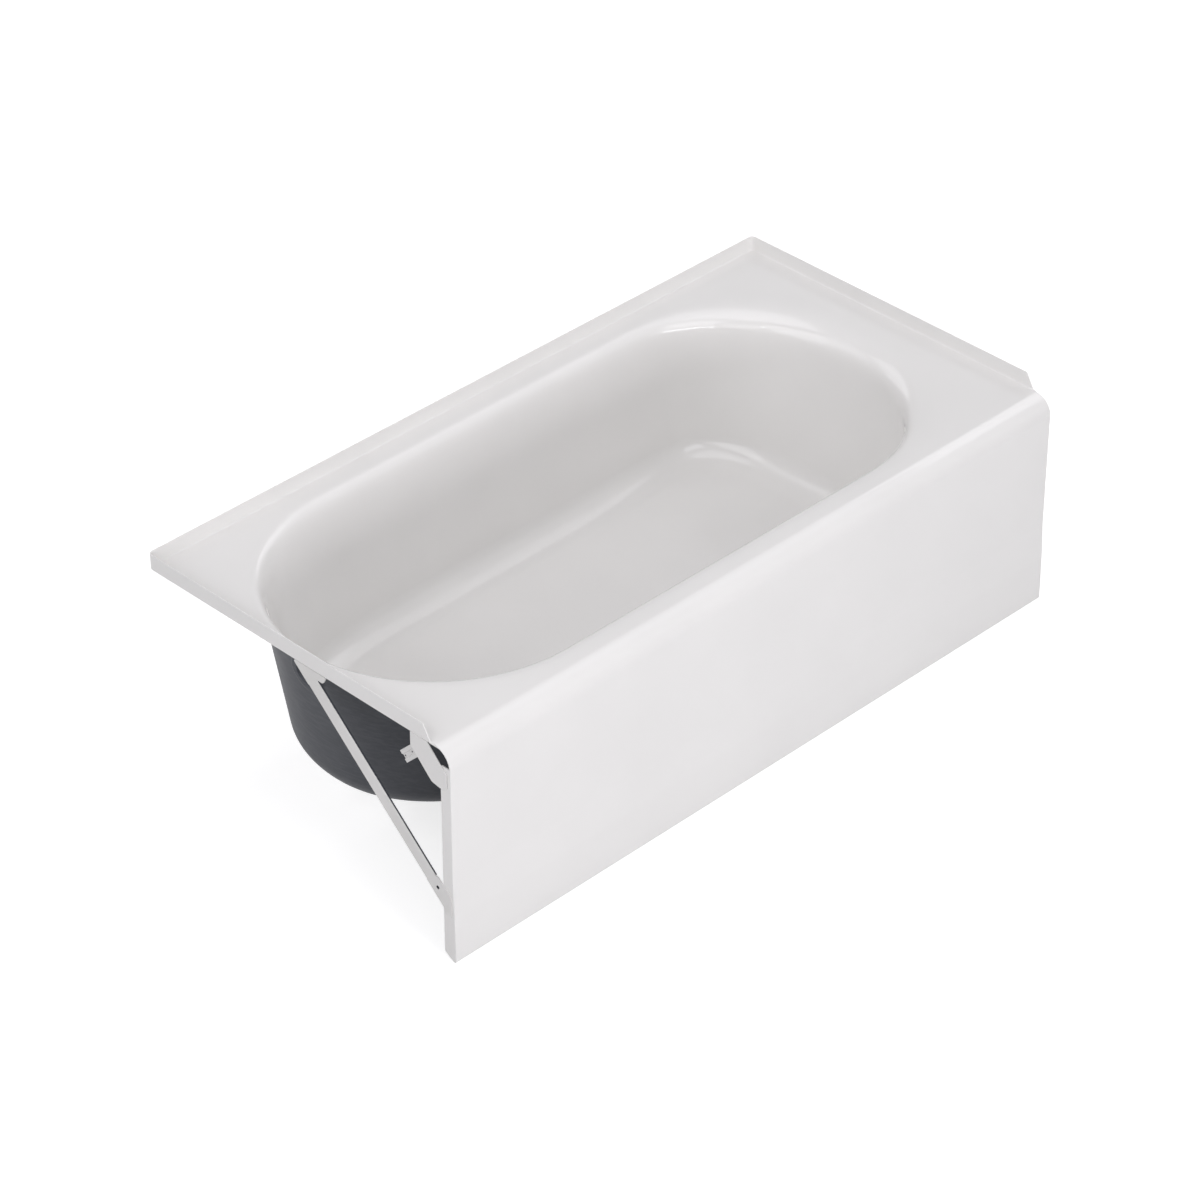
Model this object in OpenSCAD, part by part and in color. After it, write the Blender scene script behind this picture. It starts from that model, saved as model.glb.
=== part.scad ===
/* [Overall] */
// Length between the outer faces of the two end flanges
bath_l = 1524; // [1400:1:1700]
// Width from the apron face to the outer face of the back flange
bath_w = 762; // [740:1:860]
// Height of the rim deck above the floor
deck_h = 445; // [400:1:520]
// Thickness of the enamelled steel sheet
sheet_t = 2; // [1.6:0.1:2.6]

/* [Tiling flange] */
// Rise of the flange above the deck
flange_rise = 31; // [20:1:40]
// Radius of the fillet at the foot of the flange
flange_root_r = 7; // [4:0.5:9]
// Distance from the apron face to the front end of the side flanges, at their top
flange_end_top = 66; // [60:1:80]
// The same distance at the foot of the side flanges
flange_end_foot = 48; // [44:1:58]

/* [Basin] */
// Depth of the basin below the deck, at half its length
basin_d = 321; // [280:1:360]
// Fall of the basin floor towards the outlet, over the length of the bath
floor_fall = 8; // [0:1:14]
// Width of the rim at the outlet end, up to the steep wall
rim_left = 38; // [36:1:60]
// Width of the rim at the lounging end
rim_right = 114; // [100:1:130]
// Width of the rim above the apron
rim_front = 98; // [97:1:112]
// Width of the rim along the back wall
rim_back = 62; // [56:1:80]
// Part of the outlet end rim that rolls down into the basin
roll_left = 26; // [20:1:27]
// Part of the lounging end rim that rolls down
roll_right = 84; // [60:1:90]
// Part of the front rim that rolls down
roll_front = 55; // [45:1:56]
// Part of the back rim that rolls down
roll_back = 26; // [22:1:40]
// Height of the roll from the deck to the steep wall
roll_h = 60; // [50:1:80]
// Fullness of the roll, where 2 is an ellipse
roll_full = 3.4; // [2.4:0.1:3.6]
// Slope of the outlet end wall from the vertical, in degrees
draft_left = 9.5; // [3:0.5:12]
// Slope of the lounging end wall
draft_right = 11.5; // [8:0.5:18]
// Slope of the front and back walls
draft_side = 3; // [2:0.5:7]
// Height of the fillet between the walls and the floor
fillet_h = 45; // [40:1:80]
// Width of that fillet at both ends
fillet_end = 42; // [38:1:70]
// Width of that fillet along the front and the back
fillet_side = 62; // [50:1:80]
// Length of the round outlet end, at the top of the wall
end_left_top = 316; // [280:1:340]
// Length of the round lounging end, at the top of the wall
end_right_top = 308; // [260:1:340]
// Length of the round outlet end, at the floor
end_left_floor = 380; // [300:1:400]
// Length of the round lounging end, at the floor
end_right_floor = 140; // [120:1:220]
// Fullness of the outlet end from the rim to the wall, where 2 is an ellipse
full_left_top = 2; // [2:0.05:2.3]
// Fullness of the outlet end at the floor
full_left_floor = 2.1; // [2:0.05:2.5]
// Fullness of the lounging end at the edge of the deck
full_right_rim = 2.8; // [2:0.05:3]
// Fullness of the lounging end at the top of the wall
full_right_top = 2; // [2:0.05:2.5]
// Fullness of the lounging end at the floor
full_right_floor = 2.9; // [2.4:0.1:3.4]

/* [Outlet and overflow] */
// Diameter of the outlet hole in the basin floor
drain_d = 52; // [44:1:60]
// Distance from the left end of the bath to the centre of the outlet hole
drain_x = 222; // [210:1:260]
// Diameter of the overflow hole in the outlet end wall
overflow_d = 48; // [40:1:52]
// Distance from the deck down to the centre of the overflow hole
overflow_drop = 62; // [60:1:90]
// Diameter of the round seat pressed into the floor at the outlet
drain_seat_d = 76; // [70:1:84]
// Depth of that seat below the floor
drain_seat = 2.4; // [1:0.1:3]
// Diameter of the flat round seat at the overflow
overflow_seat_d = 64; // [60:1:68]
// Depth of that seat behind the wall
overflow_seat = 1.6; // [1.4:0.1:2.4]
// Clearance round both holes in the backing
hole_clear = 1; // [0.5:0.5:3]

/* [Composite backing] */
// Thickness of the moulded backing
backing_t = 6; // [4:0.5:7]
// Bond line between the steel and the backing
bond_gap = 0.2; // [0.1:0.05:0.4]
// Distance from the outer edge of the deck to the edge of the backing
backing_margin = 11; // [10.5:0.5:20]

/* [Apron] */
// Radius of the roll from the deck down to the apron face
apron_r = 38; // [30:1:40]
// Distance that the upper apron face stands behind the lower one
apron_set = 3; // [1:0.5:6]
// Height at which the apron face starts to lean back
lean_foot = 95; // [60:1:120]
// Height at which the lean ends in the faint crease
lean_top = 168; // [140:1:220]
// Width of the returns at the two ends of the apron
return_w = 27; // [22:1:32]
// Distance from the deck down to the top of the returns
return_drop = 35; // [32:1:44]
// Height of the cut at the foot of each return
return_cut = 13; // [8:1:20]
// Width of the flange along the foot of the apron
hem_w = 22; // [14:1:30]
// Width of the welding lap under the deck
apron_lap = 12; // [8:1:14]
// Clearance between that lap and the deck
lap_gap = 0.3; // [0.2:0.05:0.5]

/* [End brackets] */
// Thickness of the gussets and braces
bracket_t = 2; // [1.5:0.1:3]
// Distance from the deck's front edge to the root of the gusset
gusset_set = 16; // [12:1:24]
// Length of the gusset's root on the deck
gusset_root = 40; // [32:1:48]
// Width of the gusset's slanting arm
gusset_arm = 48; // [40:1:56]
// Distance from the apron face to the tip of the gusset
gusset_tip = 11; // [8:1:14]
// Height of the gusset's tip on the return
gusset_toe = 31; // [24:1:40]
// Fall of the gusset's lower edge from its tip to the edge of the return
gusset_toe_fall = 4; // [2:0.5:8]
// Width of the clip on the gusset
clip_w = 24; // [20:1:30]
// Length of the clip outside the gusset
clip_reach = 40; // [30:1:46]
// Length of the clip behind the gusset
clip_lap = 14; // [10:1:18]
// Depth of the trough in the clip
clip_trough = 2; // [1.5:0.5:4]
// Thickness of the clip's sheet
clip_t = 1.5; // [1:0.1:2]
// Diameter of the holes in the clip
clip_hole_d = 4; // [3:0.5:6]
// Distance from the gusset's edge to the first of the two holes
clip_hole_x = 12; // [8:1:18]
// Width of the brace between its flanges
brace_w = 29; // [24:1:32]
// Depth of the brace's flanges
brace_flange = 4.5; // [4:0.5:9]
// Height of the brace's lower edge where it leaves the apron return
brace_foot_z = 112; // [100:1:130]
// Distance from the apron face to the brace's lower edge, at the deck
brace_head_y = 388; // [340:1:420]
// Length of the brace's wide upper end on the deck
brace_head_l = 85; // [75:1:95]
// Drop of the back corner of that end below the deck
brace_head_drop = 17; // [12:1:22]
// Overlap of the brace's foot on the apron return
brace_foot_lap = 20; // [14:1:24]
// Width of the brace's flat foot
brace_foot_w = 34; // [30:1:38]
// Length of the flat at each end of the brace, along its lower edge
brace_flat_l = 50; // [44:1:60]
// Diameter of the hole in the foot of the brace
brace_hole_d = 7; // [4:0.5:9]
// Distance of that hole from the end of the brace's channel
brace_hole_x = 19; // [14:1:26]

/* [Support pad] */
// Length of the foam pad under the basin
pad_l = 730; // [500:1:780]
// Width of the foam pad
pad_w = 260; // [180:1:290]
// Shift of the pad from the middle of the bath towards the lounging end
pad_x = 10; // [-20:1:40]
// Radius of the pad's upright corners
pad_r = 20; // [10:1:40]

/* [Hidden] */

// Points round the basin and rows of points down its wall
ring_n = 64;
roll_angles = [0, 13, 25, 36, 47, 58, 69, 80, 90];
straight_rows = 3;
fillet_rows = 6;
// Overshoot of every cutting solid
cut = 1;
// Fine circle
fine = 64;

left_x = -bath_l / 2;
right_x = bath_l / 2;
front_y = -bath_w / 2;
back_y = bath_w / 2;
under_z = deck_h - sheet_t;
flange_top = deck_h + flange_rise;
deck_front = front_y + apron_set + apron_r;
shell_skin = sheet_t + bond_gap;
backing_skin = shell_skin + backing_t;
// Middle of the basin, where both holes lie
middle_y = (rim_front - rim_back) / 2;
// Front end of the gusset's root, from the apron face
gusset_y = apron_set + apron_r + gusset_set;
// Distance between the two edges of the slanting arm, measured along the deck
gusset_band = gusset_arm * sqrt(2);
// Height of the cutting plugs above the two seats
seat_clear = roll_h / 4;

// Sides in the order left, right, front, back
RIM = [rim_left, rim_right, rim_front, rim_back];
ROLL = [roll_left, roll_right, roll_front, roll_back];
DRAFT = [draft_left, draft_right, draft_side, draft_side];
FILLET = [fillet_end, fillet_end, fillet_side, fillet_side];
REACH_TOP = [end_left_top, end_right_top];
REACH_FLOOR = [end_left_floor, end_right_floor];
FULL_RIM = [full_left_top, full_right_rim];
FULL_TOP = [full_left_top, full_right_top];
FULL_FLOOR = [full_left_floor, full_right_floor];

function mix(a, b, t) = a + (b - a) * t;
function power(v, p) = sign(v) * pow(abs(v), p);
function unit(v) = v / norm(v);

// Each row of the wall is its drop below the deck, its share of the roll and its share of the fillet
fillet_start = basin_d - fillet_h;
ROLL_ROWS = [for (a = roll_angles)
    [roll_h * (1 - pow(cos(a), 2 / roll_full)), pow(sin(a), 2 / roll_full), 0]];
STRAIGHT_ROWS = [for (k = [1 : straight_rows]) [mix(roll_h, fillet_start, k / straight_rows), 1, 0]];
FILLET_ROWS = [for (k = [1 : fillet_rows])
    let (a = 90 * k / fillet_rows) [fillet_start + fillet_h * sin(a), 1, 1 - cos(a)]];

// Height of the basin floor, which falls towards the left
function floor_z(x) = deck_h - basin_d + floor_fall * x / bath_l;

// One closed row of points on the inner face of the basin
function ring(row) =
    let (drop = row[0], out = 1 - row[1], depth = drop / basin_d,
        inset = [for (s = [0 : 3]) RIM[s] - ROLL[s] * out + tan(DRAFT[s]) * drop + FILLET[s] * row[2]],
        reach = [for (s = [0 : 1]) mix(REACH_TOP[s], REACH_FLOOR[s], depth) + ROLL[s] * out],
        full = [for (s = [0 : 1]) mix(FULL_TOP[s], FULL_FLOOR[s], depth) + (FULL_RIM[s] - FULL_TOP[s]) * out],
        middle = [left_x + inset[0] + reach[0], right_x - inset[1] - reach[1]],
        half_w = (bath_w - inset[2] - inset[3]) / 2,
        row_y = (inset[2] - inset[3]) / 2)
    [for (i = [0 : ring_n - 1])
        let (a = 360 * (i + 0.5) / ring_n, s = cos(a) < 0 ? 0 : 1,
            x = middle[s] + reach[s] * power(cos(a), 2 / full[s]),
            y = row_y + half_w * power(sin(a), 2 / full[s]))
        [x, y, deck_h - drop + pow(depth, 3) * floor_fall * x / bath_l]];

BASIN = [for (row = concat(ROLL_ROWS, STRAIGHT_ROWS, FILLET_ROWS)) ring(row)];
LAST = len(BASIN) - 1;

// The basin's face moved outwards by d, with its first and last row moved straight down
function skin(d) = [for (j = [0 : LAST]) [for (i = [0 : ring_n - 1])
    j == 0 || j == LAST ? BASIN[j][i] - [0, 0, d]
    : let (along = BASIN[j][(i + 1) % ring_n] - BASIN[j][(i + ring_n - 1) % ring_n],
        down = BASIN[j + 1][i] - BASIN[j - 1][i])
        BASIN[j][i] + d * unit(cross(down, along))]];

// The basin as a solid bowl, d larger all round and with an upright collar up to the height top
module bowl(d, top) {
    rows = skin(d);
    rings = concat([[for (p = rows[0]) [p[0], p[1], top]]], rows);
    foot = len(rings) - 1;
    sides = [for (j = [0 : foot - 1], i = [0 : ring_n - 1])
        let (a = j * ring_n, b = a + ring_n, k = (i + 1) % ring_n)
        each [[a + i, a + k, b + k], [a + i, b + k, b + i]]];
    lid = [for (i = [ring_n - 1 : -1 : 0]) i];
    base = [for (i = [0 : ring_n - 1]) foot * ring_n + i];
    polyhedron(points = [for (r = rings) each r], faces = concat([lid], sides, [base]), convexity = 4);
}

// Puts its children on the axis of the outlet hole, z = 0 at the top of its seat
module at_drain() {
    x = left_x + drain_x;
    translate([x, middle_y, floor_z(x) - drain_seat])
        children();
}

// Puts its children on the axis of the overflow hole, square to the wall, z = 0 at its seat
module at_overflow() {
    above = max(0, 1 - overflow_drop / roll_h);
    out = 1 - pow(1 - pow(above, roll_full), 1 / roll_full);
    wall_x = left_x + rim_left - roll_left * out + tan(draft_left) * overflow_drop;
    translate([wall_x, middle_y, deck_h - overflow_drop])
        rotate([0, 90 - draft_left, 0])
            translate([0, 0, -overflow_seat])
                children();
}

// Round plug from depth below the seat to height above it
module plug(d, depth, height) {
    translate([0, 0, -depth])
        cylinder(d = d, h = depth + height, $fn = fine);
}

// Both seats pressed outwards, each as a plug that reaches skin_d behind its seat
module seat_plugs(skin_d) {
    at_drain()
        plug(drain_seat_d + 2 * skin_d, skin_d, seat_clear);
    at_overflow()
        plug(overflow_seat_d + 2 * skin_d, skin_d, seat_clear);
}

// Outlet hole through the floor and overflow hole through the left end wall
module outlet_holes(clear) {
    at_drain()
        plug(drain_d + 2 * clear, fillet_h, fillet_h);
    at_overflow()
        plug(overflow_d + 2 * clear, fillet_h, fillet_h);
}

// Upright sheet with a fillet at its foot, along +Y, its outer face at x = 0
module flange_run(length) {
    translate([0, length, 0])
        rotate([90, 0, 0])
            linear_extrude(length) {
                translate([0, under_z])
                    square([sheet_t, flange_rise + sheet_t]);
                translate([sheet_t, deck_h])
                    root_fillet();
            }
}

// Concave quarter round in the corner of +X and +Y
module root_fillet() {
    difference() {
        translate([-cut, -cut])
            square(flange_root_r + cut);
        translate([flange_root_r, flange_root_r])
            circle(flange_root_r, $fn = fine);
        translate([flange_root_r, -2 * cut])
            square(flange_root_r);
        translate([-2 * cut, flange_root_r])
            square(flange_root_r);
    }
}

// Flange along the back and both ends, with cut-back front ends
module tiling_flange() {
    side_l = back_y - front_y - flange_end_foot;
    difference() {
        union() {
            translate([right_x, back_y, 0])
                rotate([0, 0, 180])
                    flange_run(side_l);
            translate([left_x, front_y + flange_end_foot, 0])
                flange_run(side_l);
            translate([left_x, back_y, 0])
                rotate([0, 0, -90])
                    flange_run(bath_l);
            translate([left_x + sheet_t, back_y - sheet_t, deck_h])
                rotate([0, 0, -90])
                    linear_extrude(flange_rise)
                        root_fillet();
            translate([right_x - sheet_t, back_y - sheet_t, deck_h])
                rotate([0, 0, 180])
                    linear_extrude(flange_rise)
                        root_fillet();
        }
        flange_end_cut();
    }
}

// Wedge that slopes the front ends of the side flanges
module flange_end_cut() {
    foot = front_y + flange_end_foot;
    top = front_y + flange_end_top;
    translate([left_x - cut, 0, 0])
        rotate([90, 0, 90])
            linear_extrude(bath_l + 2 * cut)
                polygon([[foot - cut, deck_h], [foot, deck_h], [top, flange_top],
                    [top, flange_top + cut], [foot - cut, flange_top + cut]]);
}

module bath_shell() {
    color("#f2f1f1")
    difference() {
        union() {
            translate([left_x, deck_front, under_z])
                cube([bath_l, back_y - deck_front, sheet_t]);
            bowl(sheet_t, deck_h - sheet_t / 2);
            seat_plugs(sheet_t);
            tiling_flange();
        }
        bowl(0, flange_top);
        seat_plugs(0);
        outlet_holes(0);
    }
}

// Moulded layer bonded to the underside of the deck and the outside of the basin
module composite_backing() {
    top_z = deck_h - shell_skin;
    front_edge = deck_front + apron_lap + 2 * lap_gap;
    color("#3e4146")
    difference() {
        union() {
            translate([left_x + backing_margin, front_edge, top_z - backing_t])
                cube([bath_l - 2 * backing_margin, back_y - backing_margin - front_edge, backing_t]);
            bowl(backing_skin, top_z - backing_t / 2);
        }
        bowl(shell_skin, deck_h);
        seat_plugs(shell_skin);
        outlet_holes(hole_clear);
        translate([left_x, front_y, top_z - roll_h / 2])
            cube([bath_l, front_edge - front_y, roll_h]);
    }
}

// Section of the apron, y from the apron face and z from the floor, d inside its outer face
module apron_section(d) {
    intersection() {
        translate([apron_set + apron_r, deck_h - apron_r])
            circle(apron_r - d, $fn = 2 * fine);
        translate([0, deck_h - apron_r])
            square([apron_set + apron_r + d, apron_r]);
    }
    polygon([[d, d], [d, lean_foot], [apron_set + d, lean_top], [apron_set + d, deck_h - apron_r],
        [apron_set + apron_r + d, deck_h - apron_r], [apron_set + apron_r + d, d]]);
}

// Sheet of the apron with the flange at its foot and the lap under the deck
module apron_sheet() {
    edge = apron_set + apron_r;
    lap_top = under_z - lap_gap;
    joggle = apron_r / 3;
    difference() {
        apron_section(0);
        apron_section(sheet_t);
        translate([hem_w, -cut])
            square([edge, deck_h - apron_r]);
    }
    polygon([[edge - joggle, lap_top - sheet_t], [edge + apron_lap, lap_top - sheet_t],
        [edge + apron_lap, lap_top], [edge, lap_top], [edge, under_z + sheet_t / 2],
        [edge - joggle, under_z - sheet_t]]);
}

// Return at the end of the apron, in the end plane
module apron_return() {
    toe = return_w / 5;
    polygon([[sheet_t / 2, sheet_t / 2], [toe, 0], [return_w, return_cut],
        [return_w, deck_h - return_drop], [apron_set + sheet_t / 2, deck_h - return_drop],
        [apron_set + sheet_t / 2, lean_top], [sheet_t / 2, lean_foot]]);
}

module apron_panel() {
    panel_l = bath_l - 2 * bracket_t;
    color("#f2f1f1")
    translate([-panel_l / 2, front_y, 0])
        rotate([90, 0, 90]) {
            linear_extrude(panel_l)
                apron_sheet();
            linear_extrude(sheet_t)
                apron_return();
            translate([0, 0, panel_l - sheet_t])
                linear_extrude(sheet_t)
                    apron_return();
        }
}

// Places what is drawn in the end plane, y from the apron face, at the left end or mirrored at the right
module at_end(side) {
    mirror([side == "right" ? 1 : 0, 0, 0])
        translate([left_x, front_y, 0])
            rotate([90, 0, 90])
                children();
}

module gusset(side) {
    root_end = gusset_y + gusset_root;
    heel_y = return_w + gusset_root / 2;
    tip_z = under_z + gusset_tip - gusset_y;
    color("#cbc9c8")
    at_end(side)
        linear_extrude(bracket_t)
            polygon([[gusset_y, under_z], [root_end, under_z],
                [root_end, under_z + gusset_root - gusset_band],
                [heel_y, under_z + heel_y - gusset_y - gusset_band],
                [return_w, tip_z - gusset_toe - gusset_toe_fall], [gusset_tip, tip_z - gusset_toe],
                [gusset_tip, tip_z]]);
}

// Section of the clip, across its width and through its depth
module clip_section() {
    half = clip_w / 2;
    trough = clip_w / 4;
    translate([-half, 0])
        square([half - trough + clip_t, clip_t]);
    translate([trough - clip_t, 0])
        square([half - trough + clip_t, clip_t]);
    for (x = [-trough, trough - clip_t])
        translate([x, 0])
            square([clip_t, clip_trough + clip_t]);
    translate([-trough, clip_trough])
        square([2 * trough, clip_t]);
}

module gusset_clip(side) {
    corner = [gusset_y + gusset_root, under_z + gusset_root - gusset_band];
    start = corner - [clip_w / 2, clip_w / 2] / sqrt(2);
    length = clip_lap + clip_reach;
    color("#bdbbba")
    at_end(side)
        translate([start[0], start[1], bracket_t])
            rotate([0, 0, -45])
                translate([-clip_lap, 0, 0])
                    difference() {
                        rotate([90, 0, 90])
                            linear_extrude(length)
                                clip_section();
                        for (x = [clip_lap + clip_hole_x, length - clip_hole_d])
                            translate([x, 0, 0])
                                cylinder(d = clip_hole_d, h = 2 * clip_trough + clip_t, $fn = fine);
                    }
}

module brace(side) {
    foot = [return_w, brace_foot_z];
    head = [brace_head_y, under_z];
    run = unit(head - foot);
    low = foot + run * brace_flat_l;
    length = norm(head - foot) - 2 * brace_flat_l;
    toe = -brace_flat_l - brace_foot_lap / run[0];
    heel = toe + brace_foot_w * run[1] / run[0];
    // Point of the end plane in the brace's own frame, along it and across it
    function own(point) = [(point - low) * run, (point - low) * [-run[1], run[0]]];
    color("#c2c0bf")
    at_end(side)
        translate([low[0], low[1], 0])
            rotate([0, 0, atan2(run[1], run[0])])
                difference() {
                    union() {
                        linear_extrude(bracket_t)
                            polygon([[toe, 0], [length + brace_flat_l, 0],
                                own(head - [brace_head_l, 0]),
                                own(head - [brace_head_l - brace_head_drop / 2, brace_head_drop]),
                                [length, brace_w], [0, brace_w],
                                [brace_w - brace_foot_w, brace_foot_w], [heel, brace_foot_w]]);
                        for (y = [0, brace_w - bracket_t])
                            translate([0, y, 0])
                                cube([length, bracket_t, brace_flange]);
                    }
                    translate([-brace_hole_x, brace_foot_w / 2, -cut])
                        cylinder(d = brace_hole_d, h = bracket_t + 2 * cut, $fn = fine);
                }
}

// Foam block between the floor of the room and the underside of the backing
module foam_support_pad() {
    left = pad_x - pad_l / 2;
    right = pad_x + pad_l / 2;
    color("#e9e7df")
    intersection() {
        translate([0, middle_y + pad_w / 2, 0])
            rotate([90, 0, 0])
                linear_extrude(pad_w)
                    polygon([[left, 0], [right, 0], [right, floor_z(right) - backing_skin],
                        [left, floor_z(left) - backing_skin]]);
        translate([left, middle_y - pad_w / 2, 0])
            linear_extrude(deck_h)
                rounded_block(pad_l, pad_w, pad_r);
    }
}

// Rectangle with round corners
module rounded_block(l, w, r) {
    translate([r, 0])
        square([l - 2 * r, w]);
    translate([0, r])
        square([l, w - 2 * r]);
    for (x = [r, l - r], y = [r, w - r])
        translate([x, y])
            circle(r, $fn = fine);
}

module left_gusset() { gusset("left"); }
module right_gusset() { gusset("right"); }
module left_gusset_clip() { gusset_clip("left"); }
module right_gusset_clip() { gusset_clip("right"); }
module left_brace() { brace("left"); }
module right_brace() { brace("right"); }

bath_shell();
composite_backing();
apron_panel();
left_gusset();
right_gusset();
left_gusset_clip();
right_gusset_clip();
left_brace();
right_brace();
foam_support_pad();
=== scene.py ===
"""Looks of the apron bathtub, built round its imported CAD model."""

from __future__ import annotations

import logging
import math
from collections.abc import Callable, Iterable, Iterator, Sequence
from contextlib import contextmanager
from dataclasses import asdict, dataclass, field, replace
from enum import Enum
from itertools import product

import bmesh
import bpy
import numpy as np
from mathutils import Matrix, Vector
from mathutils.geometry import delaunay_2d_cdt


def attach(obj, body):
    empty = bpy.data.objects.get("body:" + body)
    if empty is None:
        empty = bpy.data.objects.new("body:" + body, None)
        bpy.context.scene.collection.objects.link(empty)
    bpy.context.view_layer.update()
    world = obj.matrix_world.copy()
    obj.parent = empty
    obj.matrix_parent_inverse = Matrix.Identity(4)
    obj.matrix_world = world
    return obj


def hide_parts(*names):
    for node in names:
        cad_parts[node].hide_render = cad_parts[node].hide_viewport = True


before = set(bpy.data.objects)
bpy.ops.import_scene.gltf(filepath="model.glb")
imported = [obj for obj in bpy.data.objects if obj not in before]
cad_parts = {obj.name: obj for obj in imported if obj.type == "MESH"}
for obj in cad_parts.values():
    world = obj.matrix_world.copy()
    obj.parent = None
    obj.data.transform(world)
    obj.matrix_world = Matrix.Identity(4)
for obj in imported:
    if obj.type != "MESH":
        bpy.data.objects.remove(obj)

log = logging.getLogger("apron_bathtub")

MM = 0.001
# face mark of the dark ground coat, which is also painted shade on the apron's back and on the
# brackets' inner faces
GROUND_SHADE = "ground_coat_and_shade"
WELD = 0.01  # points this close together become one, in millimetres
PRISM_WELD = 0.004  # the same inside the section tree
SLIVER = 1e-7  # edges shorter than this are dissolved, in metres
SAME_POINT = 1e-9  # what the triangulation takes for one point, in millimetres
ROUND_SHARE = 0.49  # the largest share of a side that a rounded corner takes
SEAT_GROWTH = 0.8  # how much a pressed seat widens for each millimetre of skin
TURN_FACES = 64  # faces round a turned cutter
JUST_SHORT = 0.9999  # keeps a search inside its list
ALONG_X = Matrix(((0, 0, 1), (1, 0, 0), (0, 1, 0))).to_4x4()  # draws a section along X
Point = tuple[float, float]


class Side(Enum):
    """The four sides of the basin."""

    LEFT = 0
    RIGHT = 1
    FRONT = 2
    BACK = 3


class End(Enum):
    """The two ends of the bath, with the sign of their X."""

    LEFT = -1
    RIGHT = 1

    @property
    def word(self) -> str:
        """The end's name as the nodes write it."""
        return self.name.lower()


class Slot(Enum):
    """The record's material slots."""

    ENAMEL = "enamel"
    COMPOSITE = "composite"
    STEEL = "bracket_steel"
    FOAM = "foam"


# Node trees


class Field:
    """A number inside a node tree, on which every sum adds its own Math node."""

    def __init__(self, tree: bpy.types.NodeTree, socket: bpy.types.NodeSocket) -> None:
        """Keeps the tree and the socket that gives the number."""
        self.tree = tree
        self.socket = socket

    def math(self, operation: str, *others: Field | float) -> Field:
        """Adds one Math node.

        Args:
            operation: Blender's name of the operation.
            others: The node's further inputs, fields or numbers.

        Returns:
            The node's result.
        """
        node = self.tree.nodes.new("ShaderNodeMath")
        node.operation = operation
        feed(node, (self, *others))
        return Field(self.tree, node.outputs[0])

    def __add__(self, other: Field | float) -> Field:
        """This plus another."""
        return self.math("ADD", other)

    def __sub__(self, other: Field | float) -> Field:
        """This less another."""
        return self.math("SUBTRACT", other)

    def __mul__(self, other: Field | float) -> Field:
        """This times another."""
        return self.math("MULTIPLY", other)

    def __truediv__(self, other: Field | float) -> Field:
        """This over another."""
        return self.math("DIVIDE", other)

    def __rsub__(self, other: float) -> Field:
        """A number less this."""
        return (self * -1.0) + other

    def __rtruediv__(self, other: float) -> Field:
        """A number over this."""
        return self.math("POWER", -1.0) * other

    def mix(self, other: Field, share: Field) -> Field:
        """This value at share 0 and the other at share 1."""
        return self + (other - self) * share

    def signed_power(self, exponent: Field) -> Field:
        """The power of the value's size, with the value's sign."""
        return self.math("ABSOLUTE").math("POWER", exponent) * self.math("SIGN")


def feed(node: bpy.types.Node, values: Iterable[Field | float]) -> None:
    """Gives a node's first inputs their fields or numbers.

    Args:
        node: The node.
        values: What its inputs get, in their order.
    """
    for place, value in enumerate(values):
        if isinstance(value, Field):
            value.tree.links.new(value.socket, node.inputs[place])
        else:
            node.inputs[place].default_value = value


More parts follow.
